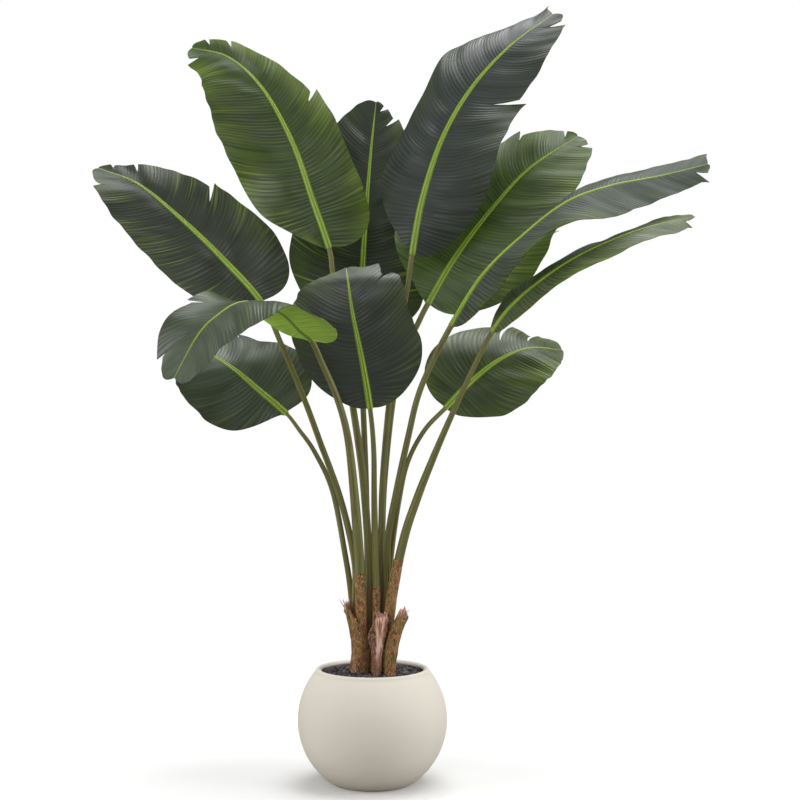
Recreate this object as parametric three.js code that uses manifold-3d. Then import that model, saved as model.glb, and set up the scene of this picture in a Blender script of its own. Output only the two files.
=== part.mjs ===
// A potted travelers palm: an artificial plant of eleven paddle leaves on long
// stalks, with three brown leaf-base stumps, standing in gravel in a round pot.
//
// Millimetres, +Z up. The origin is the centre of the pot's underside, and the
// plant is seen from the front by looking along +Y.
import * as THREE from "three";
import { mergeVertices } from "three/addons/utils/BufferGeometryUtils.js";
import Module from "manifold-3d";

const GAP = 0.3; // clear space between pieces that touch

// Pot: a ball with a flat foot and a rounded lip
const POT_RADIUS = 145;
const POT_WIDEST_Z = 122;
const POT_HEIGHT = 221;
const POT_MOUTH_RADIUS = 99;
const POT_WALL = 9;
const POT_FLOOR = 12;
const POT_LIP = 5; // height of the lip's rounding
const POT_SIDES = 36;
const ARC_STEP = 22; // between the points of the pot's and the gravel's profiles

// Gravel that fills the pot, slightly heaped
const SOIL_WALL_CLEAR = 0.8;
const SOIL_EDGE_Z = 207;
const SOIL_HEAP = 8;
const HOLE_DEPTH_CLEAR = 1; // under what stands in the gravel
const HOLE_TOP_Z = 420; // above every hole in the gravel and in the stumps

// Leaf blades
const BLADE_THICKNESS = 1;
const BLADE_ROWS = 16;
const VEIN_REACH = [-0.3, 0.1, 0.35, 0.6]; // forward run of the side veins, neck to tip
const STRIP_NECK = 6.2; // half width of the flat strip that carries the rib
const STRIP_TIP = 1.6;
const TEAR_HALF_WIDTH = 0.014; // of the blade's length
const TEAR_STEP = 0.08; // share by which the margin sits further in beyond a tear
const TEAR_HEALS = 0.1; // of the blade's length, over which the margin comes back out
const TEAR_FLOOR = 2; // of blade that is left beside the strip
const LEAST_BEND = 1e-6; // a millimetre, so that a flat half is worked out like a bent one

// Raised rib on the blade's upper face
const RIB_END = 0.93; // of the blade's length
const RIB_MARGIN = 0.6; // of the strip left bare on each side
const RIB_RISE = 0.62; // of the rib's half width
const RIB_SEAT = 0.6; // between the rib and the blade under it

const STALK_SIDES = 8;
const STALK_STEP = 65; // between the stalk's rings of points, counted from its foot
const STALK_END = 5; // shortest length between an end and the next ring
const SHEATH_EXTRA = 1.2; // how much thicker the brown leaf base is than its stalk

const DARK_GREEN = 0x35413b;
const GREEN = 0x3f5a2c;
const LIME = 0x84a82c;
const OLIVE = 0x5f6134;
const BROWN = 0x6e4f2e;
const PINK_TAN = 0x9a7560;
const CREAM = 0xddd8cc;
const GRAVEL = 0x242226;

const LEFT = -1;
const RIGHT = 1;

// Each leaf is laid along a curve: stalk points from the pot up to the neck, then
// rib points from there to the tip. The other lists run evenly from neck to tip:
//   facing   where the upper face looks, in degrees round from -Y towards +X and
//            degrees up from level
//   left, right          half widths of the ellipse that the outline follows
//   fold                 degrees that each half rises from the rib
//   curlLeft, curlRight  degrees that each half bends on its way to the margin
//   tears                side, place along the blade, depth of the notch
//   wave                 height of the margin's wave, how many, and its start
//   diameters            of the stalk, evenly spaced from its foot to the neck
//   sheathTop            height up to which the leaf base is brown
const LEAVES = {
  left: {
    stalk: [
      [-31, -5, 150], [-31, -5, 212], [-33, -4, 352], [-35, -1, 431], [-62, 8, 547],
      [-104, 10, 664], [-133, 12, 742], [-178, 20, 849], [-219, 28, 934],
    ],
    rib: [[-298, 45, 1022], [-384, 70, 1104], [-473, 100, 1176], [-560, 135, 1213]],
    facing: [[15, 5], [5, 15], [5, 25], [5, 55]],
    left: [105, 115, 100, 95, 60],
    right: [170, 130, 95, 65, 35],
    fold: [8, 8],
    curlLeft: [-25, -25, -20],
    curlRight: [-20, -30, -40],
    tears: [[RIGHT, 0.49, 0.36], [RIGHT, 0.82, 0.42], [RIGHT, 0.93, 0.4], [LEFT, 0.86, 0.14]],
    diameters: [14.5, 10],
    wave: [5, 2, 0.1],
  },
  upper_left: {
    stalk: [
      [-13, 0, 150], [-12, 0, 212], [-7, -2, 352], [-7, 0, 431], [-18, 4, 586], [-38, 12, 726],
      [-60, 20, 859], [-78, 26, 987], [-86, 30, 1040],
    ],
    rib: [
      [-120, 40, 1140], [-160, 56, 1253], [-222, 82, 1365], [-293, 110, 1433],
      [-370, 138, 1458],
    ],
    facing: [[5, 0], [-5, 0], [5, 25], [-5, 30]],
    left: [55, 140, 130, 105, 70],
    right: [195, 115, 90, 55, 55],
    fold: [5, 5],
    curlLeft: [-25, -45, -25],
    curlRight: [-25, -35, -30],
    tears: [[RIGHT, 0.52, 0.32], [RIGHT, 0.85, 0.4], [RIGHT, 0.93, 0.5], [LEFT, 0.94, 0.4]],
    diameters: [15, 15.5, 14.5, 12, 10],
    wave: [6, 2.5, 0.6],
    color: GREEN,
  },
  back: {
    stalk: [
      [-15, 21, 150], [-15, 21, 212], [-9, 19, 352], [-11, 30, 467], [-14, 48, 584],
      [-20, 86, 722], [-27, 126, 843], [-26, 142, 901],
    ],
    rib: [[-23, 168, 1019], [-15, 194, 1156], [-7, 218, 1264], [3, 250, 1370]],
    facing: [[5, 5], [0, 10], [0, 20], [0, 30]],
    left: [162, 174, 130, 110, 70],
    right: [228, 148, 110, 95, 40],
    fold: [0, 0],
    curlLeft: [-15, -15, -15],
    curlRight: [-15, -15, -15],
    tears: [[RIGHT, 0.88, 0.45], [RIGHT, 0.95, 0.6]],
    diameters: [14, 11],
    wave: [4, 2, 0.3],
  },
  tall: {
    stalk: [
      [4, -2, 150], [4, -2, 212], [12, -4, 352], [17, 2, 469], [20, 8, 586], [33, 14, 742],
      [53, 18, 879], [69, 20, 967], [77, 22, 1026],
    ],
    rib: [[97, 30, 1134], [136, 44, 1255], [193, 66, 1358], [270, 95, 1448], [364, 130, 1525]],
    facing: [[5, -5], [-15, 15], [-5, 15], [-20, 50]],
    left: [40, 130, 100, 165, 110],
    right: [130, 140, 110, 100, 90],
    fold: [-5, 0],
    curlLeft: [-40, -60, -70],
    curlRight: [-15, 10, -10],
    tears: [[RIGHT, 0.6, 0.46], [LEFT, 0.79, 0.25], [RIGHT, 0.94, 0.5]],
    diameters: [15, 10],
    wave: [6, 2.2, 0.4],
  },
  back_right: {
    stalk: [
      [5, 20, 150], [6, 20, 212], [15, 17, 352], [18, 24, 467], [23, 34, 584], [40, 44, 742],
      [62, 56, 837], [88, 64, 891], [109, 72, 933],
    ],
    rib: [[166, 90, 1030], [245, 115, 1135], [318, 140, 1214], [420, 175, 1285]],
    facing: [[0, 0], [-10, 15], [-10, 28], [-5, 35]],
    left: [55, 180, 110, 105, 55],
    right: [140, 170, 135, 115, 85],
    fold: [0, 5],
    curlLeft: [-20, -30, -10],
    curlRight: [-15, -20, -15],
    tears: [[LEFT, 0.76, 0.14], [LEFT, 0.95, 0.5], [RIGHT, 0.95, 0.35]],
    diameters: [14, 11],
    wave: [4, 2, 0.8],
    color: GREEN,
  },
  right_upper: {
    stalk: [
      [22, -4, 150], [22, -4, 212], [28, -9, 352], [30, -14, 471], [47, -20, 568],
      [70, -28, 674], [86, -34, 742], [108, -40, 799], [151, -50, 883],
    ],
    rib: [
      [210, -60, 978], [282, -62, 1050], [368, -60, 1117], [454, -55, 1150], [551, -48, 1170],
      [644, -40, 1194],
    ],
    facing: [[-45, 15], [-25, 75], [-30, 50], [-25, 40]],
    left: [25, 12, 105, 80, 75],
    right: [65, 95, 105, 80, 60],
    fold: [-5, -10],
    curlLeft: [-10, -40, -30],
    curlRight: [20, 10, -20],
    tears: [[RIGHT, 0.4, 0.25], [RIGHT, 0.95, 0.7]],
    diameters: [15, 11],
    wave: [6, 2.5, 0.2],
  },
  right_lower: {
    stalk: [
      [23, -23, 150], [24, -23, 212], [36, -25, 352], [60, -32, 472], [85, -40, 550],
      [115, -50, 627], [149, -64, 707], [186, -80, 789], [227, -95, 870],
    ],
    rib: [
      [278, -105, 933], [367, -118, 999], [463, -128, 1045], [536, -134, 1068],
      [598, -138, 1081],
    ],
    facing: [[-60, 25], [-50, 55], [-45, 70], [-35, 65]],
    left: [60, 90, 105, 95, 45],
    right: [56, 68, 84, 75, 40],
    fold: [-5, -10],
    curlLeft: [-10, -10, 15],
    curlRight: [10, 15, -30],
    tears: [[RIGHT, 0.95, 0.6]],
    diameters: [15, 18.8, 16.6, 11.8, 9],
    wave: [5, 2.2, 0.5],
    sheathTop: 433,
  },
  front: {
    stalk: [
      [3, -22, 150], [4, -22, 212], [8, -24, 352], [6, -26, 433], [4, -30, 549], [3, -36, 646],
      [-4, -42, 726],
    ],
    rib: [[-19, -56, 818], [-36, -66, 903], [-45, -62, 964], [-50, -34, 995]],
    facing: [[0, 0], [0, 10], [-5, 25], [-5, 60]],
    left: [68, 117, 121, 100, 20],
    right: [88, 130, 106, 105, 45],
    fold: [0, 0],
    curlLeft: [-10, -10, -15],
    curlRight: [-10, -10, -10],
    tears: [[RIGHT, 0.8, 0.25]],
    diameters: [12.5, 13.4, 13.6, 11, 8.9],
    wave: [4, 2, 0.7],
    sheathTop: 379,
  },
  drooping: {
    stalk: [
      [-16, -21, 150], [-16, -21, 212], [-22, -24, 352], [-25, -30, 434], [-33, -42, 550],
      [-45, -64, 666], [-64, -82, 742], [-94, -98, 813], [-111, -108, 850],
    ],
    rib: [
      [-133, -120, 870], [-170, -146, 904], [-231, -198, 919], [-279, -236, 888],
      [-308, -260, 851], [-343, -285, 780],
    ],
    facing: [[-50, 145], [-50, 120], [-55, 40], [-40, 60], [-45, 25]],
    left: [210, 165, 120, 85, 100],
    right: [35, 110, 90, 100, 80],
    fold: [0, 0],
    curlLeft: [-10, -40, -25],
    curlRight: [-45, 50, -35],
    tears: [[RIGHT, 0.53, 0.32], [RIGHT, 0.81, 0.14]],
    diameters: [16, 19.8, 18.8, 13.6, 11],
    wave: [4, 1.5, 0.4],
    sheathTop: 405,
  },
  low_left: {
    stalk: [
      [-34, 14, 150], [-34, 14, 212], [-41, 11, 352], [-55, 8, 449], [-79, 22, 565],
      [-114, 26, 640], [-145, 36, 683], [-172, 48, 716],
    ],
    rib: [[-221, 64, 757], [-277, 88, 802], [-339, 122, 837], [-400, 150, 840]],
    facing: [[5, 0], [5, 10], [10, 45], [10, 70]],
    left: [30, 120, 110, 105, 80],
    right: [160, 130, 95, 120, 95],
    fold: [0, 0],
    curlLeft: [-35, -30, -15],
    curlRight: [-25, -20, -15],
    tears: [[RIGHT, 0.65, 0.2]],
    diameters: [12, 12, 11.5, 9.6, 7.5],
    wave: [5, 2, 0.9],
  },
  low_right: {
    stalk: [
      [24, 17, 150], [24, 16, 212], [30, 10, 352], [38, 14, 449], [52, 26, 545], [69, 36, 620],
      [102, 46, 682], [144, 60, 726],
    ],
    rib: [[194, 76, 777], [254, 96, 823], [317, 125, 847], [386, 165, 844]],
    facing: [[-5, 0], [-15, 15], [-10, 45], [-10, 55]],
    left: [112, 128, 125, 110, 90],
    right: [65, 110, 100, 80, 30],
    fold: [0, 0],
    curlLeft: [-15, -25, -20],
    curlRight: [-20, -20, -20],
    tears: [[LEFT, 0.82, 0.42], [LEFT, 0.66, 0.32]],
    diameters: [11, 9.5],
    wave: [5, 2, 0.35],
  },
};

const wasm = await Module();
wasm.setup();

// ------------------------------------------------------------ closed bodies

const SAME_POINT = 1e-4; // points closer than this are one

/** A geometry from points and triangles, turned so that its faces point out. */
function closedBody(points, triangles) {
  let volume = 0;
  for (const [a, b, c] of triangles) {
    volume += points[a].dot(new THREE.Vector3().crossVectors(points[b], points[c]));
  }
  const outward = volume < 0 ? triangles.map(([a, b, c]) => [a, c, b]) : triangles;
  const geometry = new THREE.BufferGeometry().setFromPoints(points);
  geometry.setIndex(outward.flat());
  return geometry;
}

/** A body skinned over rings of points, closed by a fan at both ends. */
function skin(rings) {
  const sides = rings[0].length;
  const points = rings.flat();
  const triangles = [];
  for (let r = 0; r + 1 < rings.length; r++) {
    for (let k = 0; k < sides; k++) {
      const a = r * sides + k;
      const b = r * sides + ((k + 1) % sides);
      triangles.push([a, b, b + sides], [a, b + sides, a + sides]);
    }
  }
  for (const [first, turn] of [[0, -1], [(rings.length - 1) * sides, 1]]) {
    const centre = new THREE.Vector3();
    for (let k = 0; k < sides; k++) {
      centre.addScaledVector(points[first + k], 1 / sides);
    }
    points.push(centre);
    for (let k = 0; k < sides; k++) {
      const edge = [first + k, first + ((k + 1) % sides)];
      if (turn < 0) {
        edge.reverse();
      }
      triangles.push([points.length - 1, ...edge]);
    }
  }
  return closedBody(points, triangles);
}

function toSolid(geometry) {
  const bare = geometry.clone();
  bare.deleteAttribute("normal");
  bare.deleteAttribute("uv");
  const merged = mergeVertices(bare, SAME_POINT);
  return new wasm.Manifold(new wasm.Mesh({
    numProp: 3,
    vertProperties: new Float32Array(merged.attributes.position.array),
    triVerts: new Uint32Array(merged.index.array),
  }));
}

function toGeometry(solid) {
  const mesh = solid.getMesh();
  const geometry = new THREE.BufferGeometry();
  geometry.setAttribute("position", new THREE.BufferAttribute(mesh.vertProperties, 3));
  geometry.setIndex(new THREE.BufferAttribute(mesh.triVerts, 1));
  return geometry;
}

// ------------------------------------------------------------------- curves

const STEPS_A_SPAN = 60; // pieces in which the length between two points is measured
const NEARBY = 5; // to both sides of a place, from which the curve's direction is taken

/** The value at u, from 0 to 1, of a smooth line through evenly spaced keys. */
function smooth(keys, u) {
  const place = Math.min(Math.max(u, 0), 1) * (keys.length - 1);
  const i = Math.min(Math.floor(place), keys.length - 2);
  const w = place - i;
  const before = i > 0 ? keys[i - 1] : 2 * keys[0] - keys[1];
  const after = i + 2 < keys.length ? keys[i + 2] : 2 * keys[i + 1] - keys[i];
  const slope0 = (keys[i + 1] - before) / 2;
  const slope1 = (after - keys[i]) / 2;
  const rise = keys[i] - keys[i + 1];
  return (
    (2 * rise + slope0 + slope1) * w ** 3 - (3 * rise + 2 * slope0 + slope1) * w ** 2 +
    slope0 * w + keys[i]
  );
}

/** The leaf's own curve, with the length to its neck and that of its blade. */
function layOut(leaf) {
  const points = [...leaf.stalk, ...leaf.rib].map((p) => new THREE.Vector3(...p));
  const curve = new THREE.CatmullRomCurve3(points, false, "catmullrom", 0.5);
  curve.arcLengthDivisions = STEPS_A_SPAN * (points.length - 1);
  const lengths = curve.getLengths();
  const neck = lengths[STEPS_A_SPAN * (leaf.stalk.length - 1)];
  const total = lengths.at(-1);
  const faces = leaf.facing.map(([round, up]) => {
    const a = THREE.MathUtils.degToRad(round);
    const e = THREE.MathUtils.degToRad(up);
    return [Math.sin(a) * Math.cos(e), -Math.cos(a) * Math.cos(e), Math.sin(e)];
  });
  const faceKeys = [0, 1, 2].map((axis) => faces.map((face) => face[axis]));
  return { ...leaf, curve, neck, total, blade: total - neck, faceKeys };
}

/** Centre and axes at a distance along the curve, also a little past its ends. */
function frameAt(leaf, distance) {
  const at = (d) => leaf.curve.getPointAt(Math.min(Math.max(d / leaf.total, 0), 1));
  const along = at(distance + NEARBY).sub(at(distance - NEARBY));
  if (distance + NEARBY > leaf.total) {
    along.copy(at(leaf.total)).sub(at(leaf.total - 2 * NEARBY));
  }
  along.normalize();
  const centre = at(distance);
  centre.addScaledVector(along, Math.max(distance - leaf.total, 0) + Math.min(distance, 0));
  const u = (distance - leaf.neck) / leaf.blade;
  const up = new THREE.Vector3(...leaf.faceKeys.map((keys) => smooth(keys, u)));
  up.addScaledVector(along, -up.dot(along)).normalize();
  const across = new THREE.Vector3().crossVectors(along, up);
  return { centre, along, up, across };
}

// ------------------------------------------------------------------- leaves

function stripAt(s) {
  return THREE.MathUtils.lerp(STRIP_NECK, STRIP_TIP, s);
}

/** The middle of the blade's skin, s along the rib and x out from it. */
function bladePoint(leaf, side, s, x) {
  const widths = side === LEFT ? leaf.left : leaf.right;
  const curls = side === LEFT ? leaf.curlLeft : leaf.curlRight;
  const widest = Math.max(...widths);
  const past = Math.max(x - stripAt(s), 0);
  const fold = THREE.MathUtils.degToRad(leaf.fold[side === LEFT ? 0 : 1]);
  const bend = THREE.MathUtils.degToRad(smooth(curls, s)) / widest || LEAST_BEND;
  const out = (Math.sin(fold + bend * past) - Math.sin(fold)) / bend;
  const y = s * leaf.blade + smooth(VEIN_REACH, s) * past;
  const [height, count, start] = leaf.wave;
  const turns = (count * y) / leaf.blade + start;
  const ripple = height * (x / widest) ** 2 * Math.sin(2 * Math.PI * turns);
  const lift = (Math.cos(fold) - Math.cos(fold + bend * past)) / bend + side * ripple;
  const { centre, up, across } = frameAt(leaf, leaf.neck + y);
  centre.addScaledVector(across, side * (Math.min(x, stripAt(s)) + out));
  return centre.addScaledVector(up, lift);
}

/** Places along the blade where its rows of points lie, closer at both ends. */
function rowPlaces(leaf) {
  const tearRows = leaf.tears.flatMap(([, s]) => [
    s - TEAR_HALF_WIDTH,
    s,
    s + TEAR_HALF_WIDTH,
  ]);
  const places = [...tearRows];
  for (let i = 0; i < BLADE_ROWS; i++) {
    const s = (1 - Math.cos((Math.PI * i) / (BLADE_ROWS - 1))) / 2;
    if (!tearRows.some((row) => Math.abs(row - s) < TEAR_HALF_WIDTH)) {
      places.push(s);
    }
  }
  return places.sort((a, b) => a - b);
}

/** How far out the blade reaches at s, less where it is torn. */
function reach(leaf, side, s) {
  const widths = side === LEFT ? leaf.left : leaf.right;
  let width = 2 * Math.sqrt(s * (1 - s)) * smooth(widths, s);
  for (const [tornSide, place, depth] of leaf.tears) {
    if (tornSide === side && Math.abs(place - s) < TEAR_HALF_WIDTH / 2) {
      width *= 1 - depth;
    } else if (tornSide === side && s > place) {
      width *= 1 - TEAR_STEP * Math.exp((place - s) / TEAR_HEALS);
    }
  }
  return Math.max(width, stripAt(s) + TEAR_FLOOR);
}

function bladeGeometry(leaf) {
  const shares = [0, 1 / 3, 2 / 3, 1]; // of the way from strip to margin
  const middle = [];
  for (const s of rowPlaces(leaf)) {
    const strip = stripAt(s);
    const half = (side) => {
      const margin = reach(leaf, side, s);
      return shares.map((share) => bladePoint(leaf, side, s, strip + share * (margin - strip)));
    };
    middle.push([...half(LEFT).reverse(), frameAt(leaf, leaf.neck + s * leaf.blade).centre,
      ...half(RIGHT)]);
  }
  const rows = middle.length;
  const columns = middle[0].length;
  const top = [];
  const under = [];
  for (let i = 0; i < rows; i++) {
    for (let j = 0; j < columns; j++) {
      const across = middle[i][Math.min(j + 1, columns - 1)].clone();
      across.sub(middle[i][Math.max(j - 1, 0)]);
      const along = middle[Math.min(i + 1, rows - 1)][j].clone();
      along.sub(middle[Math.max(i - 1, 0)][j]);
      const normal = across.cross(along).normalize();
      top.push(middle[i][j].clone().addScaledVector(normal, BLADE_THICKNESS / 2));
      under.push(middle[i][j].clone().addScaledVector(normal, -BLADE_THICKNESS / 2));
    }
  }
  const below = rows * columns; // where the points of the under face begin
  const triangles = [];
  const wall = (a, b) => triangles.push([a, a + below, b + below], [a, b + below, b]);
  for (let i = 0; i + 1 < rows; i++) {
    for (let j = 0; j + 1 < columns; j++) {
      const a = i * columns + j;
      const d = a + columns;
      triangles.push([a, a + 1, d + 1], [a, d + 1, d]);
      triangles.push([a + below, d + 1 + below, a + 1 + below]);
      triangles.push([a + below, d + below, d + 1 + below]);
    }
    wall((i + 1) * columns - 1, (i + 2) * columns - 1);
    wall((i + 1) * columns, i * columns);
  }
  for (let j = 0; j + 1 < columns; j++) {
    wall(j, j + 1);
    wall((rows - 1) * columns + j + 1, (rows - 1) * columns + j);
  }
  return closedBody([...top, ...under], triangles);
}

function ribGeometry(leaf) {
  const arch = [[-1, 0], [-0.7, 0.7], [0, 1], [0.7, 0.7], [1, 0]];
  const seat = BLADE_THICKNESS / 2 + RIB_SEAT;
  const rings = rowPlaces(leaf).filter((s) => s < RIB_END).map((s) => {
    const { centre, up, across } = frameAt(leaf, leaf.neck + s * leaf.blade);
    const half = stripAt(s) - RIB_MARGIN;
    return arch.map(([x, z]) => {
      const point = centre.clone().addScaledVector(across, x * half);
      return point.addScaledVector(up, seat + z * half * RIB_RISE);
    });
  });
  return skin(rings);
}

/** The leaf's stalk between two distances along its curve. */
function stalkGeometry(leaf, from, to, extra) {
  const places = [from];
  const first = Math.ceil((from + STALK_END) / STALK_STEP) * STALK_STEP;
  for (let distance = first; distance < to - STALK_END; distance += STALK_STEP) {
    places.push(distance);
  }
  places.push(to);
  const rings = places.map((distance) => {
    const { centre, along } = frameAt(leaf, distance);
    const side = new THREE.Vector3().crossVectors(along, new THREE.Vector3(0, 1, 0)).normalize();
    const back = new THREE.Vector3().crossVectors(along, side);
    const radius = smooth(leaf.diameters, distance / leaf.neck) / 2 + extra;
    const ring = [];
    for (let k = 0; k < STALK_SIDES; k++) {
      const turn = (2 * Math.PI * k) / STALK_SIDES;
      const point = centre.clone().addScaledVector(side, radius * Math.cos(turn));
      ring.push(point.addScaledVector(back, radius * Math.sin(turn)));
    }
    return ring;
  });
  return skin(rings);
}

/** Distance along the leaf's curve at which it reaches a height. */
function distanceAtHeight(leaf, z) {
  let distance = 0;
  while (frameAt(leaf, distance).centre.z < z) {
    distance += 1;
  }
  return distance;
}

// ------------------------------------------------------------ pot and gravel

function ballRadiusAt(radius, z) {
  return Math.sqrt(radius ** 2 - (z - POT_WIDEST_Z) ** 2);
}

function ballArc(radius, fromZ, toZ) {
  const start = Math.asin((fromZ - POT_WIDEST_Z) / radius);
  const end = Math.asin((toZ - POT_WIDEST_Z) / radius);
  const steps = Math.ceil((Math.abs(end - start) * radius) / ARC_STEP);
  const arc = [];
  for (let i = 0; i <= steps; i++) {
    const a = THREE.MathUtils.lerp(start, end, i / steps);
    arc.push(new THREE.Vector2(radius * Math.cos(a), POT_WIDEST_Z + radius * Math.sin(a)));
  }
  return arc;
}

/** A turned body: the lathe's axis is Y, so it is stood up along Z. */
function turned(profile) {
  const geometry = new THREE.LatheGeometry(profile, POT_SIDES);
  geometry.rotateX(Math.PI / 2);
  geometry.deleteAttribute("normal");
  geometry.deleteAttribute("uv");
  const merged = mergeVertices(geometry, SAME_POINT);
  const points = [];
  for (let i = 0; i < merged.attributes.position.count; i++) {
    points.push(new THREE.Vector3().fromBufferAttribute(merged.attributes.position, i));
  }
  const triangles = [];
  for (let i = 0; i < merged.index.count; i += 3) {
    const corners = [0, 1, 2].map((k) => merged.index.getX(i + k));
    if (new Set(corners).size === 3) {
      triangles.push(corners);
    }
  }
  return closedBody(points, triangles);
}

function potGeometry() {
  const inner = POT_RADIUS - POT_WALL;
  const innerTop = POT_WIDEST_Z + Math.sqrt(inner ** 2 - POT_MOUTH_RADIUS ** 2);
  const outer = ballArc(POT_RADIUS, 0, POT_HEIGHT - POT_LIP);
  const middle = (outer.at(-1).x + POT_MOUTH_RADIUS) / 2;
  const lip = [0.25, 0.5, 0.75].map((share) => {
    const out = (outer.at(-1).x - middle) * Math.cos(Math.PI * share);
    return new THREE.Vector2(middle + out, POT_HEIGHT - POT_LIP * (1 - Math.sin(Math.PI * share)));
  });
  return turned([
    new THREE.Vector2(0, 0),
    ...outer,
    ...lip,
    ...ballArc(inner, innerTop, POT_FLOOR),
    new THREE.Vector2(0, POT_FLOOR),
  ]);
}

function soilGeometry() {
  const radius = POT_RADIUS - POT_WALL - SOIL_WALL_CLEAR;
  const bottom = POT_FLOOR + GAP;
  const edge = ballRadiusAt(radius, SOIL_EDGE_Z);
  const shoulder = 0.75; // of the edge's radius, where the heap has half its height
  return turned([
    new THREE.Vector2(0, bottom),
    ...ballArc(radius, bottom, SOIL_EDGE_Z),
    new THREE.Vector2(edge * shoulder, SOIL_EDGE_Z + SOIL_HEAP / 2),
    new THREE.Vector2(0, SOIL_EDGE_Z + SOIL_HEAP),
  ]);
}

// ------------------------------------------------------------------- stumps

// Sections from the gravel up: centre x, y, z, half width, half depth, and the
// rise of the section's right-hand edge for each millimetre out from its centre
const LEFT_TRUNK = [
  [-22, -8, 150, 22, 25, 0],
  [-22, -8, 212, 22, 25, 0],
  [-20.5, -9, 268, 19.5, 26, 0],
  [-28, -10, 318, 20, 27, -1.2],
];
const LEFT_TRUNK_STUB = [
  [-34, -14, 280, 8, 9, 0],
  [-42, -15, 318, 7, 9, 0],
  [-49.5, -15, 347, 5.5, 7, 0.8],
];
const MIDDLE_STUMP = [
  [9.5, -43, 168, 8, 9, 0],
  [9.5, -43, 222, 8, 9, 0],
  [9.3, -44, 258, 10.3, 9, 0],
  [10, -44, 290, 17, 9, 0],
  [17, -45, 316, 13.5, 9, 0],
  [18.5, -45, 330, 9.5, 8, 0.2],
];
const RIGHT_STUMP = [
  [34, -44, 168, 11, 10, 0],
  [34, -44, 222, 11, 10, 0],
  [36, -44, 252, 12, 10, 0],
  [41, -44, 281, 12.5, 10, 0],
  [49.5, -44, 307, 12, 10, 0],
  [62, -44, 335, 7.5, 9, -1.3],
];
const STUMP_SIDES = 12;

function stumpGeometry(sections, extra = 0) {
  const rings = sections.map(([x, y, z, halfWidth, halfDepth, slope], level) => {
    const ring = [];
    for (let k = 0; k < STUMP_SIDES; k++) {
      const turn = (2 * Math.PI * k) / STUMP_SIDES;
      const out = (halfWidth + extra) * Math.cos(turn);
      const back = (halfDepth + extra) * Math.sin(turn);
      const drop = level === 0 ? extra : 0;
      ring.push(new THREE.Vector3(x + out, y + back, z + slope * out - drop));
    }
    return ring;
  });
  return skin(rings);
}

// ----------------------------------------------------------------- assembly

const plant = new THREE.Group();

function addPiece(name, geometry, color, roughness) {
  geometry.computeVertexNormals();
  const material = new THREE.MeshStandardMaterial({ color, roughness, metalness: 0 });
  const mesh = new THREE.Mesh(geometry, material);
  mesh.name = name;
  plant.add(mesh);
}

// Everything that stands in the gravel or in the trunk keeps its own plain hole
const stalkHoles = [];
for (const [name, spec] of Object.entries(LEAVES)) {
  const leaf = layOut(spec);
  const brownEnd = spec.sheathTop ? distanceAtHeight(leaf, spec.sheathTop) : 0;
  const greenStart = brownEnd ? brownEnd + GAP : 0;
  addPiece(`blade_${name}`, bladeGeometry(leaf), spec.color ?? DARK_GREEN, 0.5);
  addPiece(`rib_${name}`, ribGeometry(leaf), LIME, 0.5);
  addPiece(`stalk_${name}`, stalkGeometry(leaf, greenStart, leaf.neck - GAP, 0), OLIVE, 0.55);
  if (brownEnd) {
    addPiece(`sheath_${name}`, stalkGeometry(leaf, 0, brownEnd, SHEATH_EXTRA), BROWN, 0.8);
  }
  const holeExtra = GAP + (brownEnd ? SHEATH_EXTRA : 0);
  const holeTop = distanceAtHeight(leaf, HOLE_TOP_Z);
  stalkHoles.push(toSolid(stalkGeometry(leaf, -HOLE_DEPTH_CLEAR, holeTop, holeExtra)));
}

/** What is left of a solid after its holes, without any loose scrap. */
function cutHoles(solid, holes) {
  const pieces = holes.reduce((rest, hole) => rest.subtract(hole), solid).decompose();
  return pieces.sort((a, b) => b.volume() - a.volume())[0];
}

const trunk = toSolid(stumpGeometry(LEFT_TRUNK)).add(toSolid(stumpGeometry(LEFT_TRUNK_STUB)));
addPiece("stump_left", toGeometry(cutHoles(trunk, stalkHoles)), BROWN, 0.85);
addPiece("stump_middle", stumpGeometry(MIDDLE_STUMP), PINK_TAN, 0.85);
addPiece("stump_right", stumpGeometry(RIGHT_STUMP), BROWN, 0.85);

addPiece("pot", potGeometry(), CREAM, 0.7);
const stumpHoles = [LEFT_TRUNK, MIDDLE_STUMP, RIGHT_STUMP].map((sections) =>
  toSolid(stumpGeometry(sections, GAP)),
);
const gravel = cutHoles(toSolid(soilGeometry()), [...stalkHoles, ...stumpHoles]);
addPiece("soil", toGeometry(gravel), GRAVEL, 0.95);

export default plant;
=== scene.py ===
"""Looks of a potted travelers palm: an artificial plant of eleven printed paddle leaves on
moulded stalks, standing in black gravel in a round cast pot. Metres, +Z up, front along +Y."""

import math
import random

import bmesh
import bpy
import numpy as np
from mathutils import Euler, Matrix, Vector, noise


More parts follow.
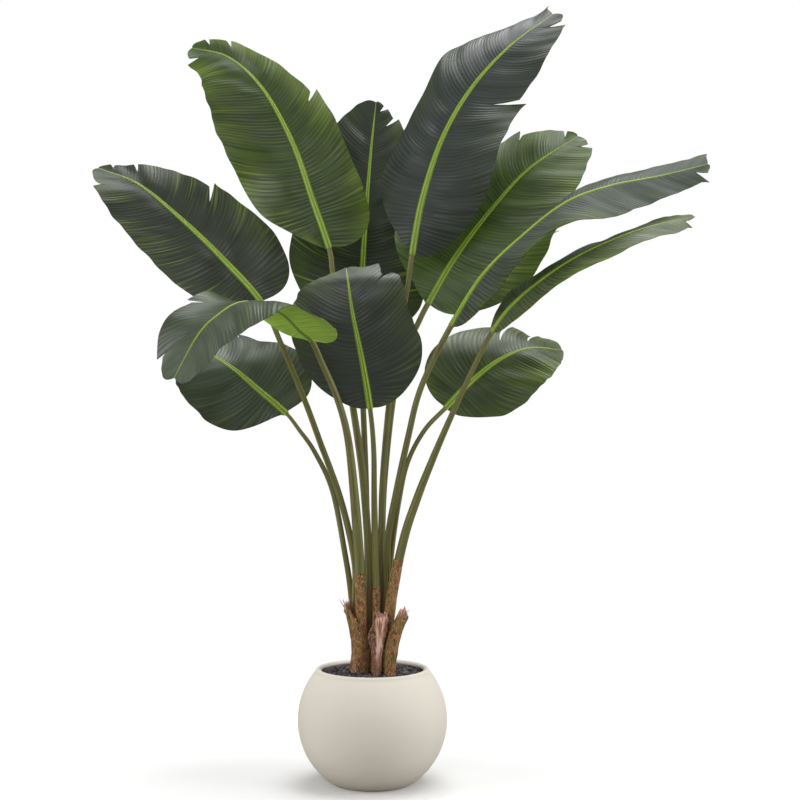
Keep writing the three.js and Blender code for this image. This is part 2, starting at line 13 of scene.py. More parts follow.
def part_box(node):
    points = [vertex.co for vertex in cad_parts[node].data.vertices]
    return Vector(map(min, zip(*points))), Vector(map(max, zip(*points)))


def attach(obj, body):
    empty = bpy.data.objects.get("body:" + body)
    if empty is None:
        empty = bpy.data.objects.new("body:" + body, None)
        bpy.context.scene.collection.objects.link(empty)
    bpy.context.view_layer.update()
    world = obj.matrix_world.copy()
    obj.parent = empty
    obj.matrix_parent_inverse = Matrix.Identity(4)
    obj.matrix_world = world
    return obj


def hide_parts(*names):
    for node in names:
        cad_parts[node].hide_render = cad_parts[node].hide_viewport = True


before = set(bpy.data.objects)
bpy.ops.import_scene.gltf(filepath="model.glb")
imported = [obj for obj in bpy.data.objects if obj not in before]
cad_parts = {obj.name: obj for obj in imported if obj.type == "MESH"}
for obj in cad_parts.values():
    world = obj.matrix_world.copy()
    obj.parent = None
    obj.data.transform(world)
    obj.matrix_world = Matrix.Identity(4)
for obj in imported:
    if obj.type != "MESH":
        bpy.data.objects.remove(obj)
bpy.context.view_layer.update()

# ---------------------------------------------------------------------------- Camera
# The camera stands about 3 m away and level, a little under the height of the plant's
# middle, so that the pot's mouth is seen from above as a narrow ellipse.
CAMERA_PLACE = (.0535, -2.943, .7416)
CAMERA_LENS = 68.13

camera = bpy.data.objects.new("camera", bpy.data.cameras.new("camera"))
camera.location = CAMERA_PLACE
camera.rotation_euler = (math.radians(90), 0, 0)
camera.data.lens = CAMERA_LENS
bpy.context.scene.collection.objects.link(camera)
bpy.context.scene.camera = camera

# ------------------------------------------------------------------------------- Pot
# A ball-shaped pot with a flat foot and a rounded lip, cast in pale fibre cement and
# sealed matt. It is one turned body, hollow down to a thick floor.
POT_WIDEST_Z = .122
POT_MOUTH_RADIUS = .099
POT_WALL = .009
POT_FLOOR = .012
POT_FOOT_ROUNDING = .003
POT_BALL_START_Z = .006
POT_LIP_DROP = .005
POT_LIP_STEPS = 12
POT_LIP_TURN = (15, 165)
POT_OUTER_STEPS = 48
POT_INNER_STEPS = 24
POT_SIDES = 144
CEMENT = (221, 215, 204)
CEMENT_SHADE = (212, 205, 193)
CEMENT_PIT = (170, 160, 145)

pot_low, pot_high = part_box("pot")
pot_radius = (pot_high.x - pot_low.x) / 2
pot_height = pot_high.z


def paint(red, green, blue):
    """A colour as a paint chart gives it, 0 to 255, as the shader's own light values."""
    def to_light(level):
        level /= 255
        return level / 12.92 if level < .04045 else ((level + .055) / 1.055) ** 2.4
    return (to_light(red), to_light(green), to_light(blue), 1)


def new_finish(name, roughness, gloss=.5):
    """A named finish, ready for its colour, roughness and relief."""
    finish = bpy.data.materials.new(name)
    finish.use_nodes = True
    shader = finish.node_tree.nodes["Principled BSDF"]
    shader.inputs["Roughness"].default_value = roughness
    shader.inputs["Specular IOR Level"].default_value = gloss
    return finish, shader


def node(tree, kind, inputs, **settings):
    """One shader node. Each input takes a number, a colour, or another node's output."""
    made = tree.nodes.new("ShaderNode" + kind)
    for key, value in settings.items():
        setattr(made, key, value)
    for socket, value in inputs.items():
        if isinstance(value, bpy.types.NodeSocket):
            tree.links.new(value, made.inputs[socket])
        else:
            made.inputs[socket].default_value = value
    return made


def object_place(finish):
    """Places in the object's own frame, in metres."""
    return node(finish.node_tree, "TexCoord", {}).outputs["Object"]


def stretched(place, **settings):
    """The same places, turned or stretched along their axes."""
    return node(place.id_data, "Mapping", {"Vector": place, **settings}).outputs[0]


def grain(place, stretch, detail=2, distortion=0):
    """Cloudy grain from 0 to 1, with so many grains to the metre along each axis of place."""
    inputs = {"Vector": stretched(place, Scale=stretch), "Scale": 1}
    inputs.update({"Detail": detail, "Distortion": distortion})
    return node(place.id_data, "TexNoise", inputs).outputs[0]


def ramp(value, low, high):
    """0 where value is under low, 1 where it is over high, and a soft step between."""
    inputs = {"Value": value, "From Min": low, "From Max": high}
    made = node(value.id_data, "MapRange", inputs, interpolation_type="SMOOTHSTEP")
    return made.outputs[0]


def scaled(value, low, high):
    """A value from 0 to 1 stretched over the range from low to high."""
    inputs = {"Value": value, "To Min": low, "To Max": high}
    return node(value.id_data, "MapRange", inputs).outputs[0]


def worked(operation, *values):
    """A sum on one or two values, the first of them another node's output."""
    made = node(values[0].id_data, "Math", dict(enumerate(values)), operation=operation)
    return made.outputs[0]


def both(first, second):
    """How far two shares hold at once."""
    return worked("MULTIPLY", first, second)


def over(share, under, top):
    """The top colour laid over the one under it, in that share. Each may be a plain paint."""
    under, top = (paint(*side) if isinstance(side, tuple) else side for side in (under, top))
    inputs = {0: share, 6: under, 7: top}
    made = node(share.id_data, "Mix", inputs, data_type="RGBA", clamp_factor=True)
    return made.outputs[2]


def tinted(under, top, value, low, high, share=1):
    """The top colour over the one under it, more as value goes from low to high."""
    amount = ramp(value, low, high)
    return over(amount if share == 1 else both(amount, share), under, top)


def relief(height, depth, below=None):
    """Small relief, depth metres from the lowest to the highest."""
    inputs = {"Height": height, "Distance": depth, "Strength": 1}
    if below:
        inputs["Normal"] = below
    return node(height.id_data, "Bump", inputs).outputs[0]


def wear(finish, shader, color, roughness=None, normal=None):
    """Gives a finish its colour, and its roughness and relief where it has them."""
    outputs = {"Base Color": color, "Roughness": roughness, "Normal": normal}
    for socket, output in outputs.items():
        if output:
            finish.node_tree.links.new(output, shader.inputs[socket])
    return finish


def cement_finish():
    finish, shader = new_finish("matt cement", .6, .35)
    place = object_place(finish)
    cloud = grain(place, (7, 7, 11), 4)
    speck = grain(place, (420, 420, 420), 2)
    pits = grain(place, (900, 900, 900), 1)
    color = over(cloud, CEMENT, CEMENT_SHADE)
    color = tinted(color, CEMENT_PIT, pits, .68, .76, .35)
    normal = relief(cloud, .0008, relief(speck, .00012))
    return wear(finish, shader, color, scaled(speck, .5, .72), normal)


def arc(radius, from_z, to_z, count):
    """Points (radius, height) on the pot's ball between two heights."""
    start, end = (math.asin((z - POT_WIDEST_Z) / radius) for z in (from_z, to_z))
    turns = np.linspace(start, end, count)
    return [(radius * math.cos(a), POT_WIDEST_Z + radius * math.sin(a)) for a in turns]


def corner(centre_r, centre_z, radius, start, end, count=6):
    """Points (radius, height) on a rounded edge, between two angles in degrees."""
    turns = np.radians(np.linspace(start, end, count))
    return [(centre_r + radius * math.cos(a), centre_z + radius * math.sin(a)) for a in turns]


def new_piece(name, points, faces, finishes, corners=None, edge_angle=40):
    """A smooth-shaded piece of the object, with its finish and a flat map of its skin."""
    mesh = bpy.data.meshes.new(name)
    mesh.from_pydata(points, [], faces)
    for finish in finishes:
        mesh.materials.append(finish)
    for label, values in (corners or {}).items():
        layer = mesh.uv_layers.new(name=label)
        layer.data.foreach_set("uv", np.asarray(values, np.float32).ravel())
    mesh.shade_smooth()
    mesh.set_sharp_from_angle(angle=math.radians(edge_angle))
    piece = bpy.data.objects.new(name, mesh)
    bpy.context.scene.collection.objects.link(piece)
    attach(piece, "root")
    return piece


def ring_quads(rings, sides):
    """The four-sided faces between rings of points, each ring and the next."""
    faces = []
    for r in range(rings - 1):
        for k in range(sides):
            here, there = r * sides + k, r * sides + (k + 1) % sides
            faces.append((here, there, there + sides, here + sides))
    return faces


def turned_piece(name, profile, sides, finish):
    """A body turned about the pot's axis. Its profile starts and ends on the axis."""
    points = []
    for radius, z in profile[1:-1]:
        for k in range(sides):
            turn = 2 * math.pi * k / sides
            points.append((radius * math.cos(turn), radius * math.sin(turn), z))
    faces = ring_quads(len(profile) - 2, sides)
    first, last = len(points), len(points) + 1
    points += [(0, 0, profile[0][1]), (0, 0, profile[-1][1])]
    top = first - sides
    for k in range(sides):
        after = (k + 1) % sides
        faces.append((after, k, first))
        faces.append((top + k, top + after, last))
    return new_piece(name, points, faces, [finish])


foot_radius = math.sqrt(pot_radius ** 2 - POT_WIDEST_Z ** 2)
foot_flat = foot_radius - POT_FOOT_ROUNDING
inner_radius = pot_radius - POT_WALL
lip_start_z = pot_height - POT_LIP_DROP
shoulder = arc(pot_radius, POT_BALL_START_Z, lip_start_z, POT_OUTER_STEPS)
inner_top = POT_WIDEST_Z + math.sqrt(inner_radius ** 2 - POT_MOUTH_RADIUS ** 2)
lip_middle = (shoulder[-1][0] + POT_MOUTH_RADIUS) / 2
lip_half = (shoulder[-1][0] - POT_MOUTH_RADIUS) / 2
lip = [(lip_middle + lip_half * math.cos(a), lip_start_z + POT_LIP_DROP * math.sin(a))
       for a in np.linspace(*map(math.radians, POT_LIP_TURN), POT_LIP_STEPS)]
pot_profile = (
    [(0, 0), (foot_flat, 0)]
    + corner(foot_flat, POT_FOOT_ROUNDING, POT_FOOT_ROUNDING, -90, -30) + shoulder + lip
    + arc(inner_radius, inner_top, POT_FLOOR, POT_INNER_STEPS) + [(0, POT_FLOOR)]
)
pot = turned_piece("cast_pot", pot_profile, POT_SIDES, cement_finish())
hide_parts("pot")

# ---------------------------------------------------------------------------- Gravel
# Chips of black stone on a bed that fills the pot to just under its lip and is heaped
# a little round the stems. The chips are loose in the real pot, on a foam plug.
BED_EDGE_Z = .207
BED_GAP = .001
BED_SINK = .002
BED_MIDDLE_RADIUS = .004
BED_WALL_STEPS = 12
BED_TOP_STEPS = 20
BED_SIDES = 96
BED_COLOR = (20, 18, 20)
BED_DUST = (44, 40, 44)
CHIP_COUNT = 2100
CHIP_SIZE = (.0022, .0046)
CHIP_STRETCH = [(.7, 1.4), (.7, 1.2), (.55, .95)]
CHIP_CRUSH = .38
CHIP_SPREAD = .985
CHIP_RISE = .1
CHIP_LUMPS = 1.4
CHIP_DARKNESS = 2.6
CHIP_EDGE_ANGLE = 28
CHIP_BLACK = (14, 12, 14)
CHIP_GREY = (118, 110, 118)
CHIP_DUST = (124, 114, 120)

soil_low, soil_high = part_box("soil")
bed_heap = soil_high.z - BED_EDGE_Z
bed_radius = math.sqrt(inner_radius ** 2 - (BED_EDGE_Z - POT_WIDEST_Z) ** 2) - BED_GAP


def point_value(finish, label):
    """The value with this label that a piece gives at each of its points."""
    made = node(finish.node_tree, "Attribute", {}, attribute_name=label)
    return made.outputs["Fac"]


def chip_finish():
    finish, shader = new_finish("black stone chips", .6, .28)
    rough = grain(object_place(finish), (500, 500, 500), 4)
    color = over(point_value(finish, "tone"), CHIP_BLACK, CHIP_GREY)
    color = tinted(color, CHIP_DUST, rough, .62, .75, .5)
    return wear(finish, shader, color, scaled(rough, .25, .6), relief(rough, .0006))


def bed_finish():
    finish, shader = new_finish("gravel bed", .9, .2)
    rough = grain(object_place(finish), (220, 220, 220), 5)
    return wear(finish, shader, over(rough, BED_COLOR, BED_DUST), None, relief(rough, .004))


def bed_height(radius):
    """Height of the heaped bed at a distance from the pot's axis."""
    return BED_EDGE_Z + bed_heap * max(1 - (radius / bed_radius) ** 2, 0)


bed_wall = arc(inner_radius - BED_GAP, soil_low.z, BED_EDGE_Z, BED_WALL_STEPS)
bed_profile = [(0, soil_low.z)] + bed_wall
for radius in [*np.linspace(bed_radius, BED_MIDDLE_RADIUS, BED_TOP_STEPS), 0]:
    bed_profile.append((radius, bed_height(radius) - BED_SINK))
bed = turned_piece("gravel_bed", bed_profile, BED_SIDES, bed_finish())
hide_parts("soil")


def mark_points(piece, label, values):
    """Gives a piece one value at each of its points, for its finish to read."""
    layer = piece.data.attributes.new(label, "FLOAT", "POINT")
    layer.data.foreach_set("value", values)


def gravel_chips():
    """All the chips as one piece: crushed little balls, thrown over the bed."""
    draw = random.Random(7)
    form = bmesh.new()
    bmesh.ops.create_icosphere(form, subdivisions=2, radius=1)
    corners = [v.co.copy() for v in form.verts]
    sides = [[v.index for v in face.verts] for face in form.faces]
    form.free()
    points, faces, tones = [], [], []
    for _ in range(CHIP_COUNT):
        out = bed_radius * math.sqrt(draw.random()) * CHIP_SPREAD
        turn = draw.uniform(0, 2 * math.pi)
        size = draw.uniform(*CHIP_SIZE)
        middle_z = bed_height(out) + size * CHIP_RISE
        middle = Vector((out * math.cos(turn), out * math.sin(turn), middle_z))
        stretch = Vector([draw.uniform(*part) for part in CHIP_STRETCH])
        spin = Vector((draw.random(), draw.random(), draw.random())) * 6.28
        facets = Vector((draw.random(), draw.random(), draw.random())) * 50
        tone = draw.random() ** CHIP_DARKNESS
        rotate = Euler(spin).to_matrix()
        for corner_point in corners:
            crush = 1 + CHIP_CRUSH * noise.noise(corner_point * CHIP_LUMPS + facets)
            points.append(middle + rotate @ (corner_point * stretch * (size * crush)))
            tones.append(tone)
        first = len(points) - len(corners)
        faces += [[first + i for i in side] for side in sides]
    chips = new_piece("gravel_chips", points, faces, [chip_finish()], None, CHIP_EDGE_ANGLE)
    mark_points(chips, "tone", tones)
    return chips


gravel_chips()

# ------------------------------------------------------------ Stumps of old leaf bases
# Three brown cut-off leaf bases round the stems: moulded foam with a fibrous skin. The
# left one is the trunk with a side stub, and the torn ends are frayed and pink inside.
# A section is (x, y, z, half width, half depth, rise of its right-hand edge per metre out).
LEFT_TRUNK = [
    (-.022, -.008, .15, .022, .025, 0), (-.022, -.008, .212, .022, .025, 0),
    (-.0205, -.009, .268, .0195, .026, 0), (-.028, -.01, .318, .02, .027, -1.2),
]
LEFT_STUB = [
    (-.034, -.014, .28, .008, .009, 0), (-.042, -.015, .318, .007, .009, 0),
    (-.0495, -.015, .342, .0055, .007, .8),
]
MIDDLE_STUMP = [
    (.0095, -.043, .168, .008, .009, 0), (.0095, -.043, .222, .008, .009, 0),
    (.0093, -.044, .258, .0103, .009, 0), (.01, -.044, .29, .017, .009, 0),
    (.017, -.045, .316, .0135, .009, 0), (.0185, -.045, .328, .0095, .008, .2),
]
RIGHT_STUMP = [
    (.034, -.044, .168, .011, .01, 0), (.034, -.044, .222, .011, .01, 0),
    (.036, -.044, .252, .012, .01, 0), (.041, -.044, .281, .0125, .01, 0),
    (.0495, -.044, .307, .012, .01, 0), (.062, -.044, .334, .0078, .009, -.9),
]
STUMP_SIDES = 72
STUMP_RINGS = 70
STUMP_EDGE_ANGLE = 60
BARK_RELIEF = .0011
BARK_LUMPS = [(1, 5, 45), (.6, 14, 60)]
THREAD_LEANS = (-28, 24)
RIM_POWER = 8
RIM_RAGS = 6
PEAK_PLACE = .15
PEAK_HALF = .6
TORN_HOLLOW = [(.86, .001), (.7, .004), (.35, .005)]
TORN_REACH = .022
TORN_FADE = .02
FIBRE_STEPS = 5
FIBRE_FOOT = (.3, 1)
FIBRE_LENGTH = (.35, 1)
FIBRE_SUNK = .35
FIBRE_OUT = (.1, .8)
FIBRE_TWIST = (-.3, .3)
FIBRE_HALF = (.0006, .0022)
FIBRE_POINT = .0001
FIBRE_THICK = .0004
PEEL_HEIGHTS = [.22, .3, .33]
PEEL_MIDDLE = [.014, .014, .0185]
PEEL_HALF = [.0062, .0066, .01]
PEEL_SHOWS = ([.234, .258], [.1, .95])
PEEL_WANDER = .0025
BARK_BROWN = (138, 102, 66)
BARK_PURPLE = (120, 86, 78)
BARK_DARK = (64, 42, 30)
BARK_OLIVE = (118, 106, 56)
BARK_STRAW = (196, 150, 102)
BARK_RED = (148, 88, 60)
TORN_PINK = (226, 186, 166)
TORN_ROSE = (150, 92, 80)


def smooth(keys, u):
    """The value at u, from 0 to 1, of a smooth line through evenly spaced keys."""
    keys = np.asarray(keys, float)
    padded = np.concatenate([[2 * keys[0] - keys[1]], keys, [2 * keys[-1] - keys[-2]]])
    place = np.clip(np.asarray(u, float), 0, 1) * (len(keys) - 1)
    i = np.minimum(place.astype(int), len(keys) - 2)
    w = (place - i).reshape(place.shape + (1,) * (keys.ndim - 1))
    before, here, after, later = (padded[i + k] for k in range(4))
    slope0, slope1 = (after - before) / 2, (later - here) / 2
    rise = here - after
    return (
        (2 * rise + slope0 + slope1) * w ** 3 - (3 * rise + 2 * slope0 + slope1) * w ** 2
        + slope0 * w + here
    )


def run_along(points):
    """How far along a line of points each of them lies."""
    steps = np.linalg.norm(np.diff(points, axis=0), axis=1)
    return np.concatenate([[0], np.cumsum(steps)])


def ring_body(rings):
    """Points, faces and skin map of a body skinned over rings of points, closed at both ends."""
    rings = np.asarray(rings, float)
    count, sides = rings.shape[:2]
    lengths = run_along(rings.mean(axis=1))
    girth = np.linalg.norm(rings - np.roll(rings, 1, axis=1), axis=2).sum(axis=1).mean()
    around = [girth * k / sides for k in range(sides + 1)]
    corners = []
    for low, high in zip(lengths, lengths[1:]):
        for left, right in zip(around, around[1:]):
            corners += [(left, low), (right, low), (right, high), (left, high)]
    corners += [(left, lengths[0]) for left in around[:-1]][::-1]
    corners += [(left, lengths[-1]) for left in around[:-1]]
    last = (count - 1) * sides
    faces = ring_quads(count, sides)
    faces += [tuple(range(sides))[::-1], tuple(range(last, last + sides))]
    return rings.reshape(-1, 3).tolist(), faces, corners


def joined(bodies):
    """Several bodies' points, faces and skin maps as those of one."""
    points, faces, corners = [], [], []
    for body_points, body_faces, body_corners in bodies:
        faces += [tuple(len(points) + i for i in face) for face in body_faces]
        points += body_points
        corners += body_corners
    return points, faces, corners


def skin_map(finish, label):
    """The flat map of a piece's skin that has this label."""
    return node(finish.node_tree, "UVMap", {}, uv_map=label).outputs[0]


def bark_finish(name, ground, olive, pink):
    """Brown fibrous skin: crossed threads over a mottled ground, torn pink towards the top."""
    finish, shader = new_finish(name, .75, .25)
    skin = skin_map(finish, "skin")
    place = object_place(finish)
    threads = []
    for lean in THREAD_LEANS:
        turned = stretched(skin, Rotation=(0, 0, math.radians(lean)))
        threads.append(grain(turned, (560, 90, 1), 1, .6))
    crossed = worked("MAXIMUM", *threads)
    mottle = grain(place, (70, 70, 28), 4)
    color = tinted(ground, BARK_DARK, mottle, .42, .8)
    color = tinted(color, BARK_OLIVE, grain(place, (34, 34, 20), 3), .48, .62, olive)
    color = tinted(color, BARK_RED, grain(place, (50, 50, 30), 2), .56, .68, .6)
    color = tinted(color, BARK_STRAW, crossed, .58, .66, .7)
    color = tinted(color, BARK_DARK, crossed, .52, .44, .8)
    if pink:
        fresh = grain(place, (260, 260, 34), 3, .5)
        rose = tinted(TORN_ROSE, TORN_PINK, fresh, .36, .56)
        color = over(point_value(finish, "torn"), color, rose)
    normal = relief(crossed, .0012, relief(mottle, .003))
    return wear(finish, shader, color, scaled(crossed, .6, .9), normal)


def torn_finish():
    finish, shader = new_finish("torn pink fibre", .8, .2)
    streak = grain(object_place(finish), (320, 320, 60), 3)
    color = tinted(TORN_ROSE, TORN_PINK, streak, .35, .65)
    return wear(finish, shader, color, None, relief(streak, .0008))


def stump_body(sections, seed, tear, peak=0):
    """A stump with a bark relief, a rim that is ragged or peaked, and a hollow torn end."""
    rings = []
    for level in np.linspace(0, 1, STUMP_RINGS):
        x, y, z, half_width, half_depth, slope = smooth(sections, level)
        ring = []
        for k in range(STUMP_SIDES):
            turn = 2 * math.pi * k / STUMP_SIDES
            ray = Vector((math.cos(turn), math.sin(turn), 0))
            bark = 0
            for share, around, upward in BARK_LUMPS:
                place = Vector((ray.x * around, ray.y * around, z * upward + seed))
                bark += share * noise.noise(place)
            swell = 1 + BARK_RELIEF * bark / half_depth
            rag = noise.noise(Vector((ray.x * RIM_RAGS, ray.y * RIM_RAGS, seed * 3.1)))
            rise = slope * half_width * ray.x + tear * rag * level ** RIM_POWER
            from_peak = abs(ray.x - PEAK_PLACE) / PEAK_HALF
            rise += peak * level ** RIM_POWER * max(1 - from_peak, 0)
            ring.append((x + half_width * swell * ray.x, y + half_depth * swell * ray.y, z + rise))
        rings.append(ring)
    rim = np.array(rings[-1])
    middle = rim.mean(axis=0)
    for share, drop in TORN_HOLLOW:
        rings.append((middle + (rim - middle) * share - (0, 0, drop)).tolist())
    return ring_body(rings)


def torn_fibres(place, spread, height, count, seed, lean):
    """Torn fibres that stand up from a stump's end: thin pointed strips, each bent its own way."""
    draw = random.Random(seed)
    strips = []
    for _ in range(count):
        turn = draw.uniform(0, 2 * math.pi)
        east, north = math.cos(turn), math.sin(turn)
        from_place = Vector((east * spread[0], north * spread[1], 0)) * draw.uniform(*FIBRE_FOOT)
        foot = Vector(place) + from_place
        length = height * draw.uniform(*FIBRE_LENGTH)
        half = draw.uniform(*FIBRE_HALF)
        out = Vector((east * .5 + lean[0], north * .5 + lean[1], 0)) * draw.uniform(*FIBRE_OUT)
        side = Vector((-north, east, draw.uniform(*FIBRE_TWIST))).normalized()
        thick = Vector((east, north, 0)) * FIBRE_THICK
        rings = []
        for step in range(FIBRE_STEPS + 1):
            t = step / FIBRE_STEPS
            middle = foot + Vector((0, 0, length * (t - FIBRE_SUNK))) + out * (length * t * t)
            width = half * (1 - t) ** .6 * (1 + .3 * math.sin(9 * t + turn)) + FIBRE_POINT
            wide = side * width
            rings.append([middle + wide, middle + thick, middle - wide, middle - thick])
        strips.append(ring_body(rings))
    return joined(strips)


def stump_piece(name, bodies, bark, fibres, peeled=False):
    """One stump from its bodies and torn fibres, and for one a peeled strip down its front."""
    points, faces, corners = joined(bodies + fibres)
    finishes = [bark, torn_fibre]
    piece = new_piece(name, points, faces, finishes, {"skin": corners}, STUMP_EDGE_ANGLE)
    for polygon in piece.data.polygons[sum(len(body[1]) for body in bodies):]:
        polygon.material_index = 1
    places = np.array(points)
    heights = places[:, 2]
    top = heights[:len(bodies[0][0])].max()
    torn = np.clip((heights - top + TORN_REACH) / TORN_FADE, 0, 1)
    if peeled:
        middle, half = (np.interp(heights, PEEL_HEIGHTS, part) for part in (PEEL_MIDDLE, PEEL_HALF))
        wander = [PEEL_WANDER * noise.noise(Vector((0, 0, z * 90))) for z in heights]
        from_middle = np.abs(places[:, 0] + wander - middle)
        peel = np.clip(2.5 - 2 * from_middle / half, 0, 1) * np.interp(heights, *PEEL_SHOWS)
        torn = np.maximum(torn, peel)
    mark_points(piece, "torn", torn)
    return piece


torn_fibre = torn_finish()
trunk_bark = bark_finish("fibrous bark", BARK_BROWN, .8, False)
pink_bark = bark_finish("torn bark", BARK_PURPLE, 0, True)
cut_bark = bark_finish("cut bark", BARK_BROWN, .9, True)

left_stump = stump_piece(
    "left_trunk",
    [stump_body(LEFT_TRUNK, 3, .006), stump_body(LEFT_STUB, 5, .01)],
    trunk_bark,
    [torn_fibres((-.0495, -.015, .34), (.006, .006), .026, 34, 21, (-.3, 0)),
     torn_fibres((-.031, -.034, .228), (.003, .001), .03, 7, 24, (.2, -.4))],
)
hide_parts("stump_left")

middle_stump = stump_piece(
    "middle_stump",
    [stump_body(MIDDLE_STUMP, 9, .01)],
    pink_bark,
    [torn_fibres((.0185, -.045, .325), (.009, .007), .018, 60, 22, (.1, 0))],
    peeled=True,
)
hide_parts("stump_middle")

right_stump = stump_piece(
    "right_stump",
    [stump_body(RIGHT_STUMP, 14, .004, peak=.012)],
    cut_bark,
    [torn_fibres((.062, -.044, .332), (.006, .007), .014, 26, 23, (.2, 0))],
)
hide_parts("stump_right")

# ------------------------------------------------------------------- Brown leaf bases
# The three front stalks are wrapped at the foot in brown fibre, as the dry base of a
# leaf is. Each wrap follows its stalk, and its upper edge is torn in points.
LEFT, RIGHT = -1, 1
